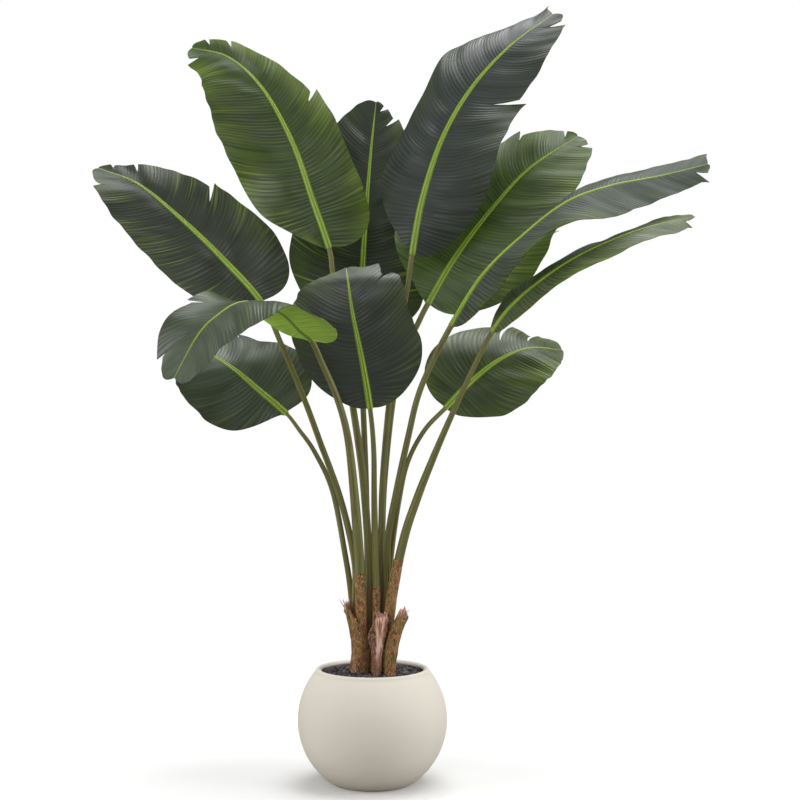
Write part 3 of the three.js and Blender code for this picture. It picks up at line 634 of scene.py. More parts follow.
# Each leaf is laid along a curve: stalk points from the pot up to the neck, then rib
# points from there to the tip. The other lists run evenly from neck to tip:
#   facing     where the upper face looks, in degrees round from -Y towards +X and
#              degrees up from level
#   widths     half widths of the ellipse that the outline follows
#   fold       degrees that each half rises from the rib
#   curl       degrees that each half bends on its way to the margin
#   tears      side, place along the blade, depth of the notch
#   wave       height of the margin's wave, how many, and its start
#   diameters  of the stalk, run evenly from its foot to the neck
#   sheath_top height up to which the leaf base is brown
#   green      True for the two leaves of a lighter green
LEAVES = {
    "left": {
        "stalk": [
            (-.031, -.005, .15), (-.031, -.005, .212), (-.033, -.004, .352), (-.035, -.001, .431),
            (-.062, .008, .547), (-.104, .01, .664), (-.133, .012, .742), (-.178, .02, .849),
            (-.219, .028, .934),
        ],
        "rib": [
            (-.298, .045, 1.022), (-.384, .07, 1.104), (-.473, .1, 1.176), (-.56, .135, 1.213),
        ],
        "facing": [(15, 5), (5, 15), (5, 25), (5, 55)],
        "widths": {LEFT: [.105, .115, .1, .095, .06], RIGHT: [.17, .13, .095, .065, .035]},
        "fold": {LEFT: 8, RIGHT: 8},
        "curl": {LEFT: [-25, -25, -20], RIGHT: [-20, -30, -40]},
        "tears": [(RIGHT, .49, .36), (RIGHT, .82, .42), (RIGHT, .93, .4), (LEFT, .86, .14)],
        "wave": (.005, 2, .1),
        "diameters": (.015, .01),
    },
    "upper_left": {
        "stalk": [
            (-.013, 0, .15), (-.012, 0, .212), (-.007, -.002, .352), (-.007, 0, .431),
            (-.018, .004, .586), (-.038, .012, .726), (-.06, .02, .859), (-.078, .026, .987),
            (-.086, .03, 1.04),
        ],
        "rib": [
            (-.12, .04, 1.14), (-.16, .056, 1.253), (-.222, .082, 1.365), (-.293, .11, 1.433),
            (-.37, .138, 1.458),
        ],
        "facing": [(5, 0), (-5, 0), (5, 25), (-5, 30)],
        "widths": {LEFT: [.055, .14, .13, .105, .07], RIGHT: [.195, .115, .09, .055, .055]},
        "fold": {LEFT: 5, RIGHT: 5},
        "curl": {LEFT: [-25, -45, -25], RIGHT: [-25, -35, -30]},
        "tears": [(RIGHT, .52, .32), (RIGHT, .85, .4), (RIGHT, .93, .5), (LEFT, .94, .4)],
        "wave": (.006, 2.5, .6),
        "diameters": (.015, .015, .015, .012, .01),
        "green": True,
    },
    "back": {
        "stalk": [
            (-.015, .021, .15), (-.015, .021, .212), (-.009, .019, .352), (-.011, .03, .467),
            (-.014, .048, .584), (-.02, .086, .722), (-.027, .126, .843), (-.026, .142, .901),
        ],
        "rib": [
            (-.023, .168, 1.019), (-.015, .194, 1.156), (-.007, .218, 1.264), (.003, .25, 1.37),
        ],
        "facing": [(5, 5), (0, 10), (0, 20), (0, 30)],
        "widths": {LEFT: [.162, .174, .13, .11, .07], RIGHT: [.228, .148, .11, .095, .04]},
        "fold": {LEFT: 0, RIGHT: 0},
        "curl": {LEFT: [-15, -15, -15], RIGHT: [-15, -15, -15]},
        "tears": [(RIGHT, .88, .45), (RIGHT, .95, .6)],
        "wave": (.004, 2, .3),
        "diameters": (.014, .011),
    },
    "tall": {
        "stalk": [
            (.004, -.002, .15), (.004, -.002, .212), (.012, -.004, .352), (.017, .002, .469),
            (.02, .008, .586), (.033, .014, .742), (.053, .018, .879), (.069, .02, .967),
            (.077, .022, 1.026),
        ],
        "rib": [
            (.097, .03, 1.134), (.136, .044, 1.255), (.193, .066, 1.358), (.27, .095, 1.448),
            (.364, .13, 1.525),
        ],
        "facing": [(5, -5), (-15, 15), (-5, 15), (-20, 50)],
        "widths": {LEFT: [.04, .13, .1, .165, .11], RIGHT: [.13, .14, .11, .1, .09]},
        "fold": {LEFT: -5, RIGHT: 0},
        "curl": {LEFT: [-40, -60, -70], RIGHT: [-15, 10, -10]},
        "tears": [(RIGHT, .6, .46), (LEFT, .79, .25), (RIGHT, .94, .5)],
        "wave": (.006, 2.2, .4),
        "diameters": (.015, .01),
    },
    "back_right": {
        "stalk": [
            (.005, .02, .15), (.006, .02, .212), (.015, .017, .352), (.018, .024, .467),
            (.023, .034, .584), (.04, .044, .742), (.062, .056, .837), (.088, .064, .891),
            (.109, .072, .933),
        ],
        "rib": [
            (.166, .09, 1.03), (.245, .115, 1.135), (.318, .14, 1.214), (.42, .175, 1.285),
        ],
        "facing": [(0, 0), (-10, 15), (-10, 28), (-5, 35)],
        "widths": {LEFT: [.055, .18, .11, .105, .055], RIGHT: [.14, .17, .135, .115, .085]},
        "fold": {LEFT: 0, RIGHT: 5},
        "curl": {LEFT: [-20, -30, -10], RIGHT: [-15, -20, -15]},
        "tears": [(LEFT, .76, .14), (LEFT, .95, .5), (RIGHT, .95, .35)],
        "wave": (.004, 2, .8),
        "diameters": (.014, .011),
        "green": True,
    },
    "right_upper": {
        "stalk": [
            (.022, -.004, .15), (.022, -.004, .212), (.028, -.009, .352), (.03, -.014, .471),
            (.047, -.02, .568), (.07, -.028, .674), (.086, -.034, .742), (.108, -.04, .799),
            (.151, -.05, .883),
        ],
        "rib": [
            (.21, -.06, .978), (.282, -.062, 1.05), (.368, -.06, 1.117), (.454, -.055, 1.15),
            (.551, -.048, 1.17), (.644, -.04, 1.194),
        ],
        "facing": [(-45, 15), (-25, 75), (-30, 50), (-25, 40)],
        "widths": {LEFT: [.025, .012, .105, .08, .075], RIGHT: [.065, .095, .105, .08, .06]},
        "fold": {LEFT: -5, RIGHT: -10},
        "curl": {LEFT: [-10, -40, -30], RIGHT: [20, 10, -20]},
        "tears": [(RIGHT, .4, .25), (RIGHT, .95, .7)],
        "wave": (.006, 2.5, .2),
        "diameters": (.015, .011),
    },
    "right_lower": {
        "stalk": [
            (.023, -.023, .15), (.024, -.023, .212), (.036, -.025, .352), (.06, -.032, .472),
            (.085, -.04, .55), (.115, -.05, .627), (.149, -.064, .707), (.186, -.08, .789),
            (.227, -.095, .87),
        ],
        "rib": [
            (.278, -.105, .933), (.367, -.118, .999), (.463, -.128, 1.045), (.536, -.134, 1.068),
            (.598, -.138, 1.081),
        ],
        "facing": [(-60, 25), (-50, 55), (-45, 70), (-35, 65)],
        "widths": {LEFT: [.06, .09, .105, .095, .045], RIGHT: [.056, .068, .084, .075, .04]},
        "fold": {LEFT: -5, RIGHT: -10},
        "curl": {LEFT: [-10, -10, 15], RIGHT: [10, 15, -30]},
        "tears": [(RIGHT, .95, .6)],
        "wave": (.005, 2.2, .5),
        "diameters": (.015, .019, .017, .012, .009),
        "sheath_top": .433,
    },
    "front": {
        "stalk": [
            (.003, -.022, .15), (.004, -.022, .212), (.008, -.024, .352), (.006, -.026, .433),
            (.004, -.03, .549), (.003, -.036, .646), (-.004, -.042, .726),
        ],
        "rib": [
            (-.019, -.056, .818), (-.036, -.066, .903), (-.045, -.062, .964), (-.05, -.034, .995),
        ],
        "facing": [(0, 0), (0, 10), (-5, 25), (-5, 60)],
        "widths": {LEFT: [.068, .117, .121, .1, .02], RIGHT: [.088, .13, .106, .105, .045]},
        "fold": {LEFT: 0, RIGHT: 0},
        "curl": {LEFT: [-10, -10, -15], RIGHT: [-10, -10, -10]},
        "tears": [(RIGHT, .8, .25)],
        "wave": (.004, 2, .7),
        "diameters": (.013, .013, .014, .011, .009),
        "sheath_top": .379,
    },
    "drooping": {
        "stalk": [
            (-.016, -.021, .15), (-.016, -.021, .212), (-.022, -.024, .352), (-.025, -.03, .434),
            (-.033, -.042, .55), (-.045, -.064, .666), (-.064, -.082, .742), (-.094, -.098, .813),
            (-.111, -.108, .85),
        ],
        "rib": [
            (-.133, -.12, .87), (-.17, -.146, .904), (-.231, -.198, .919), (-.279, -.236, .888),
            (-.308, -.26, .851), (-.343, -.285, .78),
        ],
        "facing": [(-50, 145), (-50, 120), (-55, 40), (-40, 60), (-45, 25)],
        "widths": {LEFT: [.21, .165, .12, .085, .1], RIGHT: [.035, .11, .09, .1, .08]},
        "fold": {LEFT: 0, RIGHT: 0},
        "curl": {LEFT: [-10, -40, -25], RIGHT: [-45, 50, -35]},
        "tears": [(RIGHT, .53, .32), (RIGHT, .81, .14)],
        "wave": (.004, 1.5, .4),
        "diameters": (.016, .02, .019, .014, .011),
        "sheath_top": .405,
    },
    "low_left": {
        "stalk": [
            (-.034, .014, .15), (-.034, .014, .212), (-.041, .011, .352), (-.055, .008, .449),
            (-.079, .022, .565), (-.114, .026, .64), (-.145, .036, .683), (-.172, .048, .716),
        ],
        "rib": [
            (-.221, .064, .757), (-.277, .088, .802), (-.339, .122, .837), (-.4, .15, .84),
        ],
        "facing": [(5, 0), (5, 10), (10, 45), (10, 70)],
        "widths": {LEFT: [.03, .12, .11, .105, .08], RIGHT: [.16, .13, .095, .12, .095]},
        "fold": {LEFT: 0, RIGHT: 0},
        "curl": {LEFT: [-35, -30, -15], RIGHT: [-25, -20, -15]},
        "tears": [(RIGHT, .65, .2)],
        "wave": (.005, 2, .9),
        "diameters": (.012, .012, .011, .01, .007),
    },
    "low_right": {
        "stalk": [
            (.024, .017, .15), (.024, .016, .212), (.03, .01, .352), (.038, .014, .449),
            (.052, .026, .545), (.069, .036, .62), (.102, .046, .682), (.144, .06, .726),
        ],
        "rib": [
            (.194, .076, .777), (.254, .096, .823), (.317, .125, .847), (.386, .165, .844),
        ],
        "facing": [(-5, 0), (-15, 15), (-10, 45), (-10, 55)],
        "widths": {LEFT: [.112, .128, .125, .11, .09], RIGHT: [.065, .11, .1, .08, .03]},
        "fold": {LEFT: 0, RIGHT: 0},
        "curl": {LEFT: [-15, -25, -20], RIGHT: [-20, -20, -20]},
        "tears": [(LEFT, .82, .74), (LEFT, .66, .62)],
        "wave": (.005, 2, .35),
        "diameters": (.011, .009),
    },
}
SHEATH_EXTRA = .0014
SHEATH_THINS = .75
SHEATH_SIDES = 40
SHEATH_RINGS = 60
SHEATH_BARK = .0006
SHEATH_RAG = .011
CURVE_STEPS = 60
HEIGHT_STEPS = 2000
NEARBY = .005


def unit(vectors):
    """The same directions, each of length 1."""
    return vectors / np.linalg.norm(vectors, axis=-1, keepdims=True)


def lay_out(leaf):
    """Adds what follows from a leaf's points: its curve, its lengths and where it faces."""
    points = leaf["stalk"] + leaf["rib"]
    places = np.linspace(0, 1, CURVE_STEPS * (len(points) - 1) + 1)
    lengths = run_along(smooth(points, places))
    leaf["curve"] = (points, places, lengths)
    leaf["neck"] = lengths[CURVE_STEPS * (len(leaf["stalk"]) - 1)]
    leaf["total"] = lengths[-1]
    leaf["blade"] = leaf["total"] - leaf["neck"]
    turns, lifts = np.radians(np.array(leaf["facing"], float)).T
    level = np.cos(lifts)
    leaf["faces"] = np.stack([np.sin(turns) * level, -np.cos(turns) * level, np.sin(lifts)], axis=1)


def frame_at(leaf, distance):
    """Centre, and the directions along, up and across, at distances along the curve."""
    points, places, lengths = leaf["curve"]

    def at(length):
        return smooth(points, np.interp(length, lengths, places))

    distance = np.asarray(distance, float)
    along = at(distance + NEARBY) - at(distance - NEARBY)
    end = at(leaf["total"]) - at(leaf["total"] - 2 * NEARBY)
    past_end = (distance + NEARBY > leaf["total"])[..., None]
    along = unit(np.where(past_end, end, along))
    extra = np.maximum(distance - leaf["total"], 0) + np.minimum(distance, 0)
    centre = at(distance) + along * extra[..., None]
    up = smooth(leaf["faces"], (distance - leaf["neck"]) / leaf["blade"])
    up = unit(up - along * (up * along).sum(axis=-1, keepdims=True))
    return centre, along, up, np.cross(along, up)


def distance_at_height(leaf, z):
    """Distance along the leaf's curve at which it reaches a height."""
    reach = np.linspace(0, leaf["neck"], HEIGHT_STEPS)
    heights = frame_at(leaf, reach)[0][:, 2]
    return reach[np.argmax(heights >= z)]


def stalk_radius(leaf, distance):
    """Half the stalk's thickness at a distance along the leaf's curve."""
    return smooth(leaf["diameters"], distance / leaf["neck"]) / 2


def sheath_rings(leaf, seed):
    """Rings of the brown wrap: swollen a little, and torn along its upper edge."""
    top = distance_at_height(leaf, leaf["sheath_top"])
    rings = []
    for level in np.linspace(0, 1, SHEATH_RINGS):
        distance = level * top
        centre, along, up, across = frame_at(leaf, distance)
        radius = stalk_radius(leaf, distance) + SHEATH_EXTRA * (1 - SHEATH_THINS * level ** 6)
        ring = []
        for k in range(SHEATH_SIDES):
            turn = 2 * math.pi * k / SHEATH_SIDES
            ray = math.cos(turn) * across + math.sin(turn) * up
            bark = noise.noise(Vector((ray[0] * 3, ray[1] * 3, distance * 30 + seed)))
            rag = noise.noise(Vector((ray[0] * 4, ray[1] * 4, seed * 2.3)))
            lift = SHEATH_RAG * rag * level ** 10
            point = centre + ray * (radius + SHEATH_BARK * bark) + along * lift
            ring.append(point.tolist())
        rings.append(ring)
    return rings


for name, leaf in LEAVES.items():
    leaf["name"] = name
    lay_out(leaf)

for seed, (name, leaf) in enumerate(LEAVES.items()):
    if "sheath_top" in leaf:
        points, faces, corners = ring_body(sheath_rings(leaf, seed))
        sheath = new_piece(f"fibre_wrap_{name}", points, faces, [trunk_bark], {"skin": corners})
        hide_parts(f"sheath_{name}")

# --------------------------------------------------------------------------- Stalks
# Olive leaf stalks: wire cores in moulded plastic, round at the back and with a shallow
# channel up the side that the leaf faces. They stand in holes in the gravel.
STALK_SIDES = 32
STALK_STEP = .008
CHANNEL_DEPTH = .2
CHANNEL_HALF_ANGLE = .62
STALK_UNDER_SHEATH = .02
STALK_OLIVE = (86, 86, 34)
STALK_PALE = (122, 120, 68)
STALK_BROWN = (88, 72, 40)
STALK_DARK = (54, 52, 18)


def parts_of(place):
    """The X, Y and Z of a place, each by itself."""
    return node(place.id_data, "SeparateXYZ", {"Vector": place}).outputs


def stalk_finish():
    """Olive plastic with fine pale lines and brown patches, and brown towards the foot."""
    finish, shader = new_finish("olive stalk", .42, .45)
    skin = skin_map(finish, "skin")
    height = parts_of(object_place(finish))["Z"]
    lines = grain(skin, (520, 7, 1), 3)
    patches = grain(skin, (60, 11, 1), 3)
    color = tinted(STALK_OLIVE, STALK_PALE, lines, .3, .7)
    color = tinted(color, STALK_BROWN, patches, .55, .75)
    color = tinted(color, STALK_DARK, lines, .42, .25, .7)
    color = tinted(color, BARK_BROWN, height, .42, .26, .85)
    return wear(finish, shader, color, scaled(patches, .34, .55), relief(lines, .0004))


def stalk_rings(leaf, start, end):
    """Rings of a stalk between two distances along its leaf's curve, with its channel."""
    steps = max(round((end - start) / STALK_STEP), 2)
    turns = np.linspace(0, 2 * math.pi, STALK_SIDES, endpoint=False)
    from_channel = np.abs((turns - math.pi / 2 + math.pi) % (2 * math.pi) - math.pi)
    dip = 1 - CHANNEL_DEPTH * np.exp(-(from_channel / CHANNEL_HALF_ANGLE) ** 4)
    rings = []
    for distance in np.linspace(start, end, steps + 1):
        centre, _, up, across = frame_at(leaf, distance)
        reach = stalk_radius(leaf, distance) * dip
        rings.append(centre + across * (np.cos(turns) * reach)[:, None]
                     + up * (np.sin(turns) * reach)[:, None])
    return rings


olive_stalk = stalk_finish()
for name, leaf in LEAVES.items():
    start = 0
    if "sheath_top" in leaf:
        start = distance_at_height(leaf, leaf["sheath_top"]) - STALK_UNDER_SHEATH
    points, faces, corners = ring_body(stalk_rings(leaf, start, leaf["neck"]))
    stalk = new_piece(f"moulded_stalk_{name}", points, faces, [olive_stalk], {"skin": corners})
    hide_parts(f"stalk_{name}")

# ---------------------------------------------------------------------------- Blades
# The leaf blades: coated cloth, printed in dark green with lime streaks along the veins,
# pressed in a hot mould that leaves the fine ribs, and slit at the margins as wind does.
BLADE_THICKNESS = .0009
STRIP_NECK = .0062
STRIP_TIP = .0016
BAND_NECK = .0068
BAND_TIP = .0008
BAND_TAPER = 1.6
VEIN_REACH = [-.3, .1, .35, .6]
VEIN_BOW = [0, 3.8, 5, 12]
PLEAT_PITCH = .031
PLEAT_HEIGHT = .00025
PLEAT_WAVES = 42
TEAR_HALF_WIDTH = .0052
TEAR_STEP = .08
TEAR_HEALS = .1
TEAR_FLOOR = .002
TEAR_LIFT = .003
TEAR_LIFT_RUN = .03
TEAR_LIFT_DEPTH = .4
FLAP_REACH = .1
FLAP_RUN = .022
BLADE_ROWS = 220
BLADE_COLUMNS = 15
COLUMN_SPACING = .9
CLOSEST_ROWS = 2e-4
MARGIN_PLACES = 1500
MARGIN_ROOTS = (-.2, 1.2)
MARGIN_HALVINGS = 30
PLACE_ROUNDS = 10
PLEAT_FADE = .02
BUCKLES = 5
BUCKLE_ALONG = (5, 16)
BUCKLE_OUT = (-8, 8)
BUCKLE_HEIGHT = (.0004, .001)
# Leaves whose tears gape, and how many times as wide as the others' they are.
WIDE_TEARS = {"low_right": 1.5}
# Small notches: side, place along the blade, depth.
NICKS = {"low_left": [(RIGHT, .86, .14)]}
# Small points on the margin: side, place along the blade, reach as a share of the vein
# that ends there, half width in metres.
SPIKES = {
    "tall": [(LEFT, .965, .5, .04), (RIGHT, .985, .15, .02)],
    "front": [(RIGHT, .88, .3, .022)],
    "right_upper": [(LEFT, .97, .6, .03), (RIGHT, .95, .2, .02)],
    "right_lower": [(LEFT, .97, .4, .02), (RIGHT, .96, .3, .02)],
}
SCALLOP = .006
SCALLOP_TURNS = (4, 7, 11)
SCALLOP_SHIFT = .13
# Dark of the printed lines, also laid as painted shade in the creases of the pleats.
LEAF_BLACK = (22, 28, 19)
# Painted highlight on the ridges of the pressed pleats.
PAINTED_RIDGE_HIGHLIGHT = (112, 122, 96)
LIME_STREAK = (128, 150, 44)
BAND_LIME = (118, 146, 40)
UNDER_LIME = (176, 211, 74)
UNDER_GREEN = (132, 171, 58)


def blade_finish(name, shade, ground, margin, gloss, streak_share):
    """The printed upper face: a dark ground, fine veins, and lime towards the margins, with painted
    shade in the pleats' creases and a painted highlight on their ridges.
    """
    finish, shader = new_finish(name, .42, gloss)
    veins = skin_map(finish, "veins")
    from_rib = parts_of(skin_map(finish, "place"))
    out = from_rib["Y"]
    band = ramp(from_rib["X"], 1.12, .86)
    threads = grain(veins, (430, 7, 1), 3)
    lines = grain(veins, (170, 3, 1), 2)
    waves = {"Vector": stretched(veins, Scale=(1, .12, 1)), "Scale": PLEAT_WAVES}
    waves.update({"Distortion": 7, "Detail": 2, "Detail Scale": .7})
    pleats = node(finish.node_tree, "TexWave", waves).outputs["Fac"]
    pressed = ramp(grain(veins, (12, 17, 1), 2), .3, .64)
    pressed = both(pressed, ramp(point_value(finish, "toward_tip"), .95, .8))
    painted_crease_shade = both(ramp(pleats, .3, .02), pressed)
    painted_ridge_highlight = both(ramp(pleats, .8, .98), pressed)
    bands = grain(veins, (36, 4, 1), 2)
    cloud = grain(veins, (11, 9, 1), 2)
    patches = grain(veins, (14, 7, 1), 2)
    streaks = grain(veins, (240, 4, 1), 1)
    color = tinted(shade, ground, bands, .3, .7)
    edge = both(ramp(out, .35, 1.1), ramp(cloud, .34, .66))
    color = over(edge, color, margin)
    color = tinted(color, LEAF_BLACK, lines, .46, .34, .35)
    # Painted shade in the creases of the pressed pleats, and a painted highlight on their ridges,
    # in step with their relief.
    color = over(both(painted_crease_shade, .5), color, LEAF_BLACK)
    color = over(both(painted_ridge_highlight, .16), color, PAINTED_RIDGE_HIGHLIGHT)
    color = tinted(color, LEAF_BLACK, threads, .5, .3, .3)
    color = tinted(color, margin, lines, .55, .7, .3)
    showing = both(ramp(out, .05, .85), ramp(patches, .42, .6))
    drawn = both(ramp(streaks, .58, .67), showing)
    color = over(both(drawn, streak_share), color, LIME_STREAK)
    color = over(both(band, .9), color, BAND_LIME)
    waved = both(pleats, pressed)
    normal = relief(threads, .0001, relief(waved, .0003))
    return wear(finish, shader, color, scaled(waved, .48, .3), normal)


def under_finish():
    """The underside: plain lime cloth with fine threads and a few darker veins."""
    finish, shader = new_finish("leaf underside", .5, .3)
    veins = skin_map(finish, "veins")
    threads = grain(veins, (430, 8, 1), 3)
    lines = grain(veins, (150, 4, 1), 2)
    cloud = grain(veins, (16, 12, 1), 2)
    color = tinted(UNDER_GREEN, UNDER_LIME, threads, .3, .7)
    color = tinted(color, UNDER_GREEN, lines, .48, .36, .5)
    color = tinted(color, UNDER_GREEN, cloud, .5, .75, .5)
    normal = relief(threads, .0002, relief(lines, .0006))
    return wear(finish, shader, color, scaled(threads, .42, .6), normal)


def strip_at(s):
    """Half width of the flat strip that carries the rib."""
    return STRIP_NECK + (STRIP_TIP - STRIP_NECK) * s


def full_reach(leaf, side, s):
    """How far out the blade reaches at s along it, a little less beyond each tear."""
    width = 2 * np.sqrt(np.clip(s * (1 - s), 0, None)) * smooth(leaf["widths"][side], s)
    ramp_length = TEAR_HALF_WIDTH / leaf["blade"]
    for torn_side, tear, _ in leaf["tears"]:
        if torn_side == side:
            begun = np.clip((s - tear) / ramp_length + .5, 0, 1)
            healing = np.exp(np.minimum(tear - s, 0) / TEAR_HEALS)
            width = width * (1 - TEAR_STEP * healing * begun)
    return np.maximum(width, strip_at(s) + TEAR_FLOOR)


def vein_course(leaf, root, past):
    """Distance along the rib of a side vein's points, from its root and out to past."""
    lean = smooth(VEIN_REACH, root)
    bow = smooth(VEIN_BOW, root)
    return root * leaf["blade"] + lean * past + bow * past ** 2


def margin_roots(leaf, side):
    """Places all along the margin, and the root of the side vein that ends at each."""
    s = (1 - np.cos(np.linspace(0, math.pi, MARGIN_PLACES))) / 2
    past = full_reach(leaf, side, s) - strip_at(s)
    y = s * leaf["blade"] + smooth(VEIN_REACH, s) * past
    low, high = (np.full(s.shape, root) for root in MARGIN_ROOTS)
    for _ in range(MARGIN_HALVINGS):
        root = (low + high) / 2
        before = vein_course(leaf, root, past) < y
        low, high = np.where(before, root, low), np.where(before, high, root)
    return s, np.maximum.accumulate((low + high) / 2 + np.arange(len(s)) * 1e-7)


def vein_roots(leaf):
    """Roots of the rows of points, each along a vein, with closer ones at both ends."""
    roots = (1 - np.cos(np.linspace(0, math.pi, BLADE_ROWS))) / 2
    roots = np.union1d(roots, np.linspace(0, 1, BLADE_ROWS))
    return roots[np.concatenate([[True], np.diff(roots) > CLOSEST_ROWS])]


def torn_share(leaf, side, roots, margins):
    """The share of each vein's length that the tears leave, and how the lips curl apart."""
    share = np.ones(roots.shape)
    curl = np.zeros(roots.shape)
    gap = TEAR_HALF_WIDTH * WIDE_TEARS.get(leaf["name"], 1) / leaf["blade"]
    for torn_side, tear, depth in leaf["tears"] + NICKS.get(leaf["name"], []):
        if torn_side == side:
            off = (roots - np.interp(tear, *margins)) / gap
            away = off * gap * leaf["blade"]
            flap = FLAP_REACH * np.exp(np.minimum(away, 0) / FLAP_RUN) * (off < 0)
            if leaf["name"] in WIDE_TEARS:
                flap = 0
            share *= (1 + flap) * (1 - depth * np.clip(1 - np.abs(off), 0, None))
            fade = np.exp(-np.abs(away) / TEAR_LIFT_RUN)
            curl += TEAR_LIFT * depth / TEAR_LIFT_DEPTH * np.tanh(off * 2) * fade
    for spiked_side, place, reach, run in SPIKES.get(leaf["name"], []):
        if spiked_side == side:
            away = np.abs(roots - np.interp(place, *margins)) * leaf["blade"]
            share *= 1 + reach * np.clip(1 - away / run, 0, None)
    return share, curl


def blade_half(leaf, side, roots, seed):
    """Points of one half of the blade: rows along its veins, columns out to the margin."""
    margins = margin_roots(leaf, side)
    s_end = np.interp(roots, margins[1], margins[0])
    end = full_reach(leaf, side, s_end) - strip_at(s_end)
    torn, curl = torn_share(leaf, side, roots, margins)
    for turns in SCALLOP_TURNS:
        torn = torn + SCALLOP * np.sin(2 * math.pi * turns * (roots + SCALLOP_SHIFT * seed))
    share = np.linspace(0, 1, BLADE_COLUMNS) ** COLUMN_SPACING
    past = share * np.maximum(end * torn, TEAR_FLOOR)[:, None]
    y = vein_course(leaf, roots[:, None], past)
    s = np.broadcast_to(roots[:, None], past.shape)
    for _ in range(PLACE_ROUNDS):
        s = np.clip((y - smooth(VEIN_REACH, s) * past) / leaf["blade"], 0, 1)
    x = past + strip_at(s)
    widest = max(leaf["widths"][side])
    fold = math.radians(leaf["fold"][side])
    bend = np.radians(smooth(leaf["curl"][side], s)) / widest + 1e-6
    out = (np.sin(fold + bend * past) - math.sin(fold)) / bend
    height, count, start = leaf["wave"]
    ripple = np.sin(2 * math.pi * (count * y / leaf["blade"] + start))
    lift = (math.cos(fold) - np.cos(fold + bend * past)) / bend
    lift += side * height * (x / widest) ** 2 * ripple
    along = np.broadcast_to((roots * leaf["blade"])[:, None], past.shape)
    fade = np.clip(past / PLEAT_FADE, 0, 1)
    lift += fade * PLEAT_HEIGHT * np.sin(2 * math.pi * along / PLEAT_PITCH)
    draw = random.Random(seed)
    for _ in range(BUCKLES):
        swing = along * draw.uniform(*BUCKLE_ALONG) + past * draw.uniform(*BUCKLE_OUT)
        swing = 2 * math.pi * swing
        lift += fade * draw.uniform(*BUCKLE_HEIGHT) * np.sin(swing + draw.uniform(0, 6.28))
    out_share = past / np.maximum(end, TEAR_FLOOR)[:, None]
    lift += curl[:, None] * out_share ** 3
    centre, _, up, across = frame_at(leaf, leaf["neck"] + y)
    points = centre + across * (side * (strip_at(s) + out))[..., None] + up * lift[..., None]
    veins = np.stack([along + seed, side * x], axis=-1)
    band = BAND_TIP + (BAND_NECK - BAND_TIP) * (1 - s ** BAND_TAPER)
    place = np.stack([x / band, np.clip(out_share, 0, 1)], axis=-1)
    return points, veins, place, s


def blade_piece(name, leaf, seed, finishes):
    """One blade: both halves joined along the rib into one sheet of even thickness."""
    roots = vein_roots(leaf)
    halves = [blade_half(leaf, side, roots, seed * 2 + side) for side in (LEFT, RIGHT)]
    middle, _, up, _ = frame_at(leaf, leaf["neck"] + roots * leaf["blade"])
    seam_veins = np.stack([roots * leaf["blade"] + seed * 2 - 1, 0 * roots], axis=-1)[:, None]
    seam_place = 0 * seam_veins
    seams = (middle[:, None], seam_veins, seam_place, roots[:, None])
    sheet, veins, place, toward_tip = (
        np.concatenate([left[:, ::-1], seam, right], axis=1)
        for left, seam, right in zip(halves[0], seams, halves[1]))
    normal = unit(np.cross(np.gradient(sheet, axis=1), np.gradient(sheet, axis=0)))
    if (normal * up[:, None]).sum() < 0:
        normal = -normal
    top = sheet + normal * BLADE_THICKNESS / 2
    under = sheet - normal * BLADE_THICKNESS / 2
    rows, columns = sheet.shape[:2]
    index = np.arange(rows * columns).reshape(rows, columns)
    a, b, c, d = index[:-1, :-1], index[:-1, 1:], index[1:, 1:], index[1:, :-1]
    below = rows * columns
    top_faces = np.stack([a, b, c, d], axis=-1).reshape(-1, 4)
    under_faces = np.stack([a, d, c, b], axis=-1).reshape(-1, 4) + below
    rim = np.concatenate([index[0, ::-1], index[1:, 0], index[-1, 1:], index[-2:0:-1, -1]])
    after = np.roll(rim, -1)
    rim_faces = np.stack([rim, after, after + below, rim + below], axis=-1)
    faces = np.concatenate([top_faces, under_faces, rim_faces])
    points = np.concatenate([top.reshape(-1, 3), under.reshape(-1, 3)])
    maps = {}
    for label, values in (("veins", veins), ("place", place)):
        flat = values.reshape(-1, 2)
        maps[label] = np.concatenate([flat, flat])[faces.ravel()]
    piece = new_piece(f"printed_blade_{name}", points.tolist(), faces.tolist(), finishes, maps)
    for polygon in piece.data.polygons[len(top_faces):len(top_faces) + len(under_faces)]:
        polygon.material_index = 1
    mark_points(piece, "toward_tip", np.tile(toward_tip.ravel(), 2))
    return piece


# A print: its name, the colours of its shade, ground and margin, its gloss, how strong
# its lime streaks are, and the leaves that have it.
# The prints of right_upper, right_lower and back_right are a lighter green of their own, painted
# lighter still: painted light on leaves that stand in shade.
PRINTS = [
    ("dark", (31, 38, 25), (40, 49, 34), (66, 80, 30), .4, .5, ["left", "back"]),
    ("glossy", (36, 43, 38), (40, 49, 34), (66, 80, 30), .6, .4, ["front"]),
    ("slate", (36, 43, 38), (48, 56, 53), (46, 57, 27), .4, .12, ["tall"]),
    ("dull", (60, 68, 59), (74, 82, 74), (66, 80, 30), .1, .3, ["right_upper"]),
    ("pale", (72, 82, 56), (94, 102, 76), (84, 100, 36), .2, .5, ["right_lower"]),
    ("sheen", (50, 62, 44), (66, 77, 56), (46, 57, 27), .5, .2, ["drooping", "low_left"]),
    ("moss", (46, 57, 27), (64, 80, 38), (84, 100, 36), .35, .6, ["low_right"]),
    ("green", (46, 62, 24), (60, 80, 30), (92, 114, 28), .3, .5, ["upper_left"]),
    ("young", (54, 74, 26), (74, 98, 40), (92, 114, 28), .5, .5, ["back_right"]),
]
for print_name, *look, leaf_names in PRINTS:
    leaf_print = blade_finish(f"{print_name} leaf print", *look)
    for name in leaf_names:
        LEAVES[name]["print"] = leaf_print

leaf_under = under_finish()
for seed, (name, leaf) in enumerate(LEAVES.items()):
    blade = blade_piece(name, leaf, seed, [leaf["print"], leaf_under])
    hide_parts(f"blade_{name}")

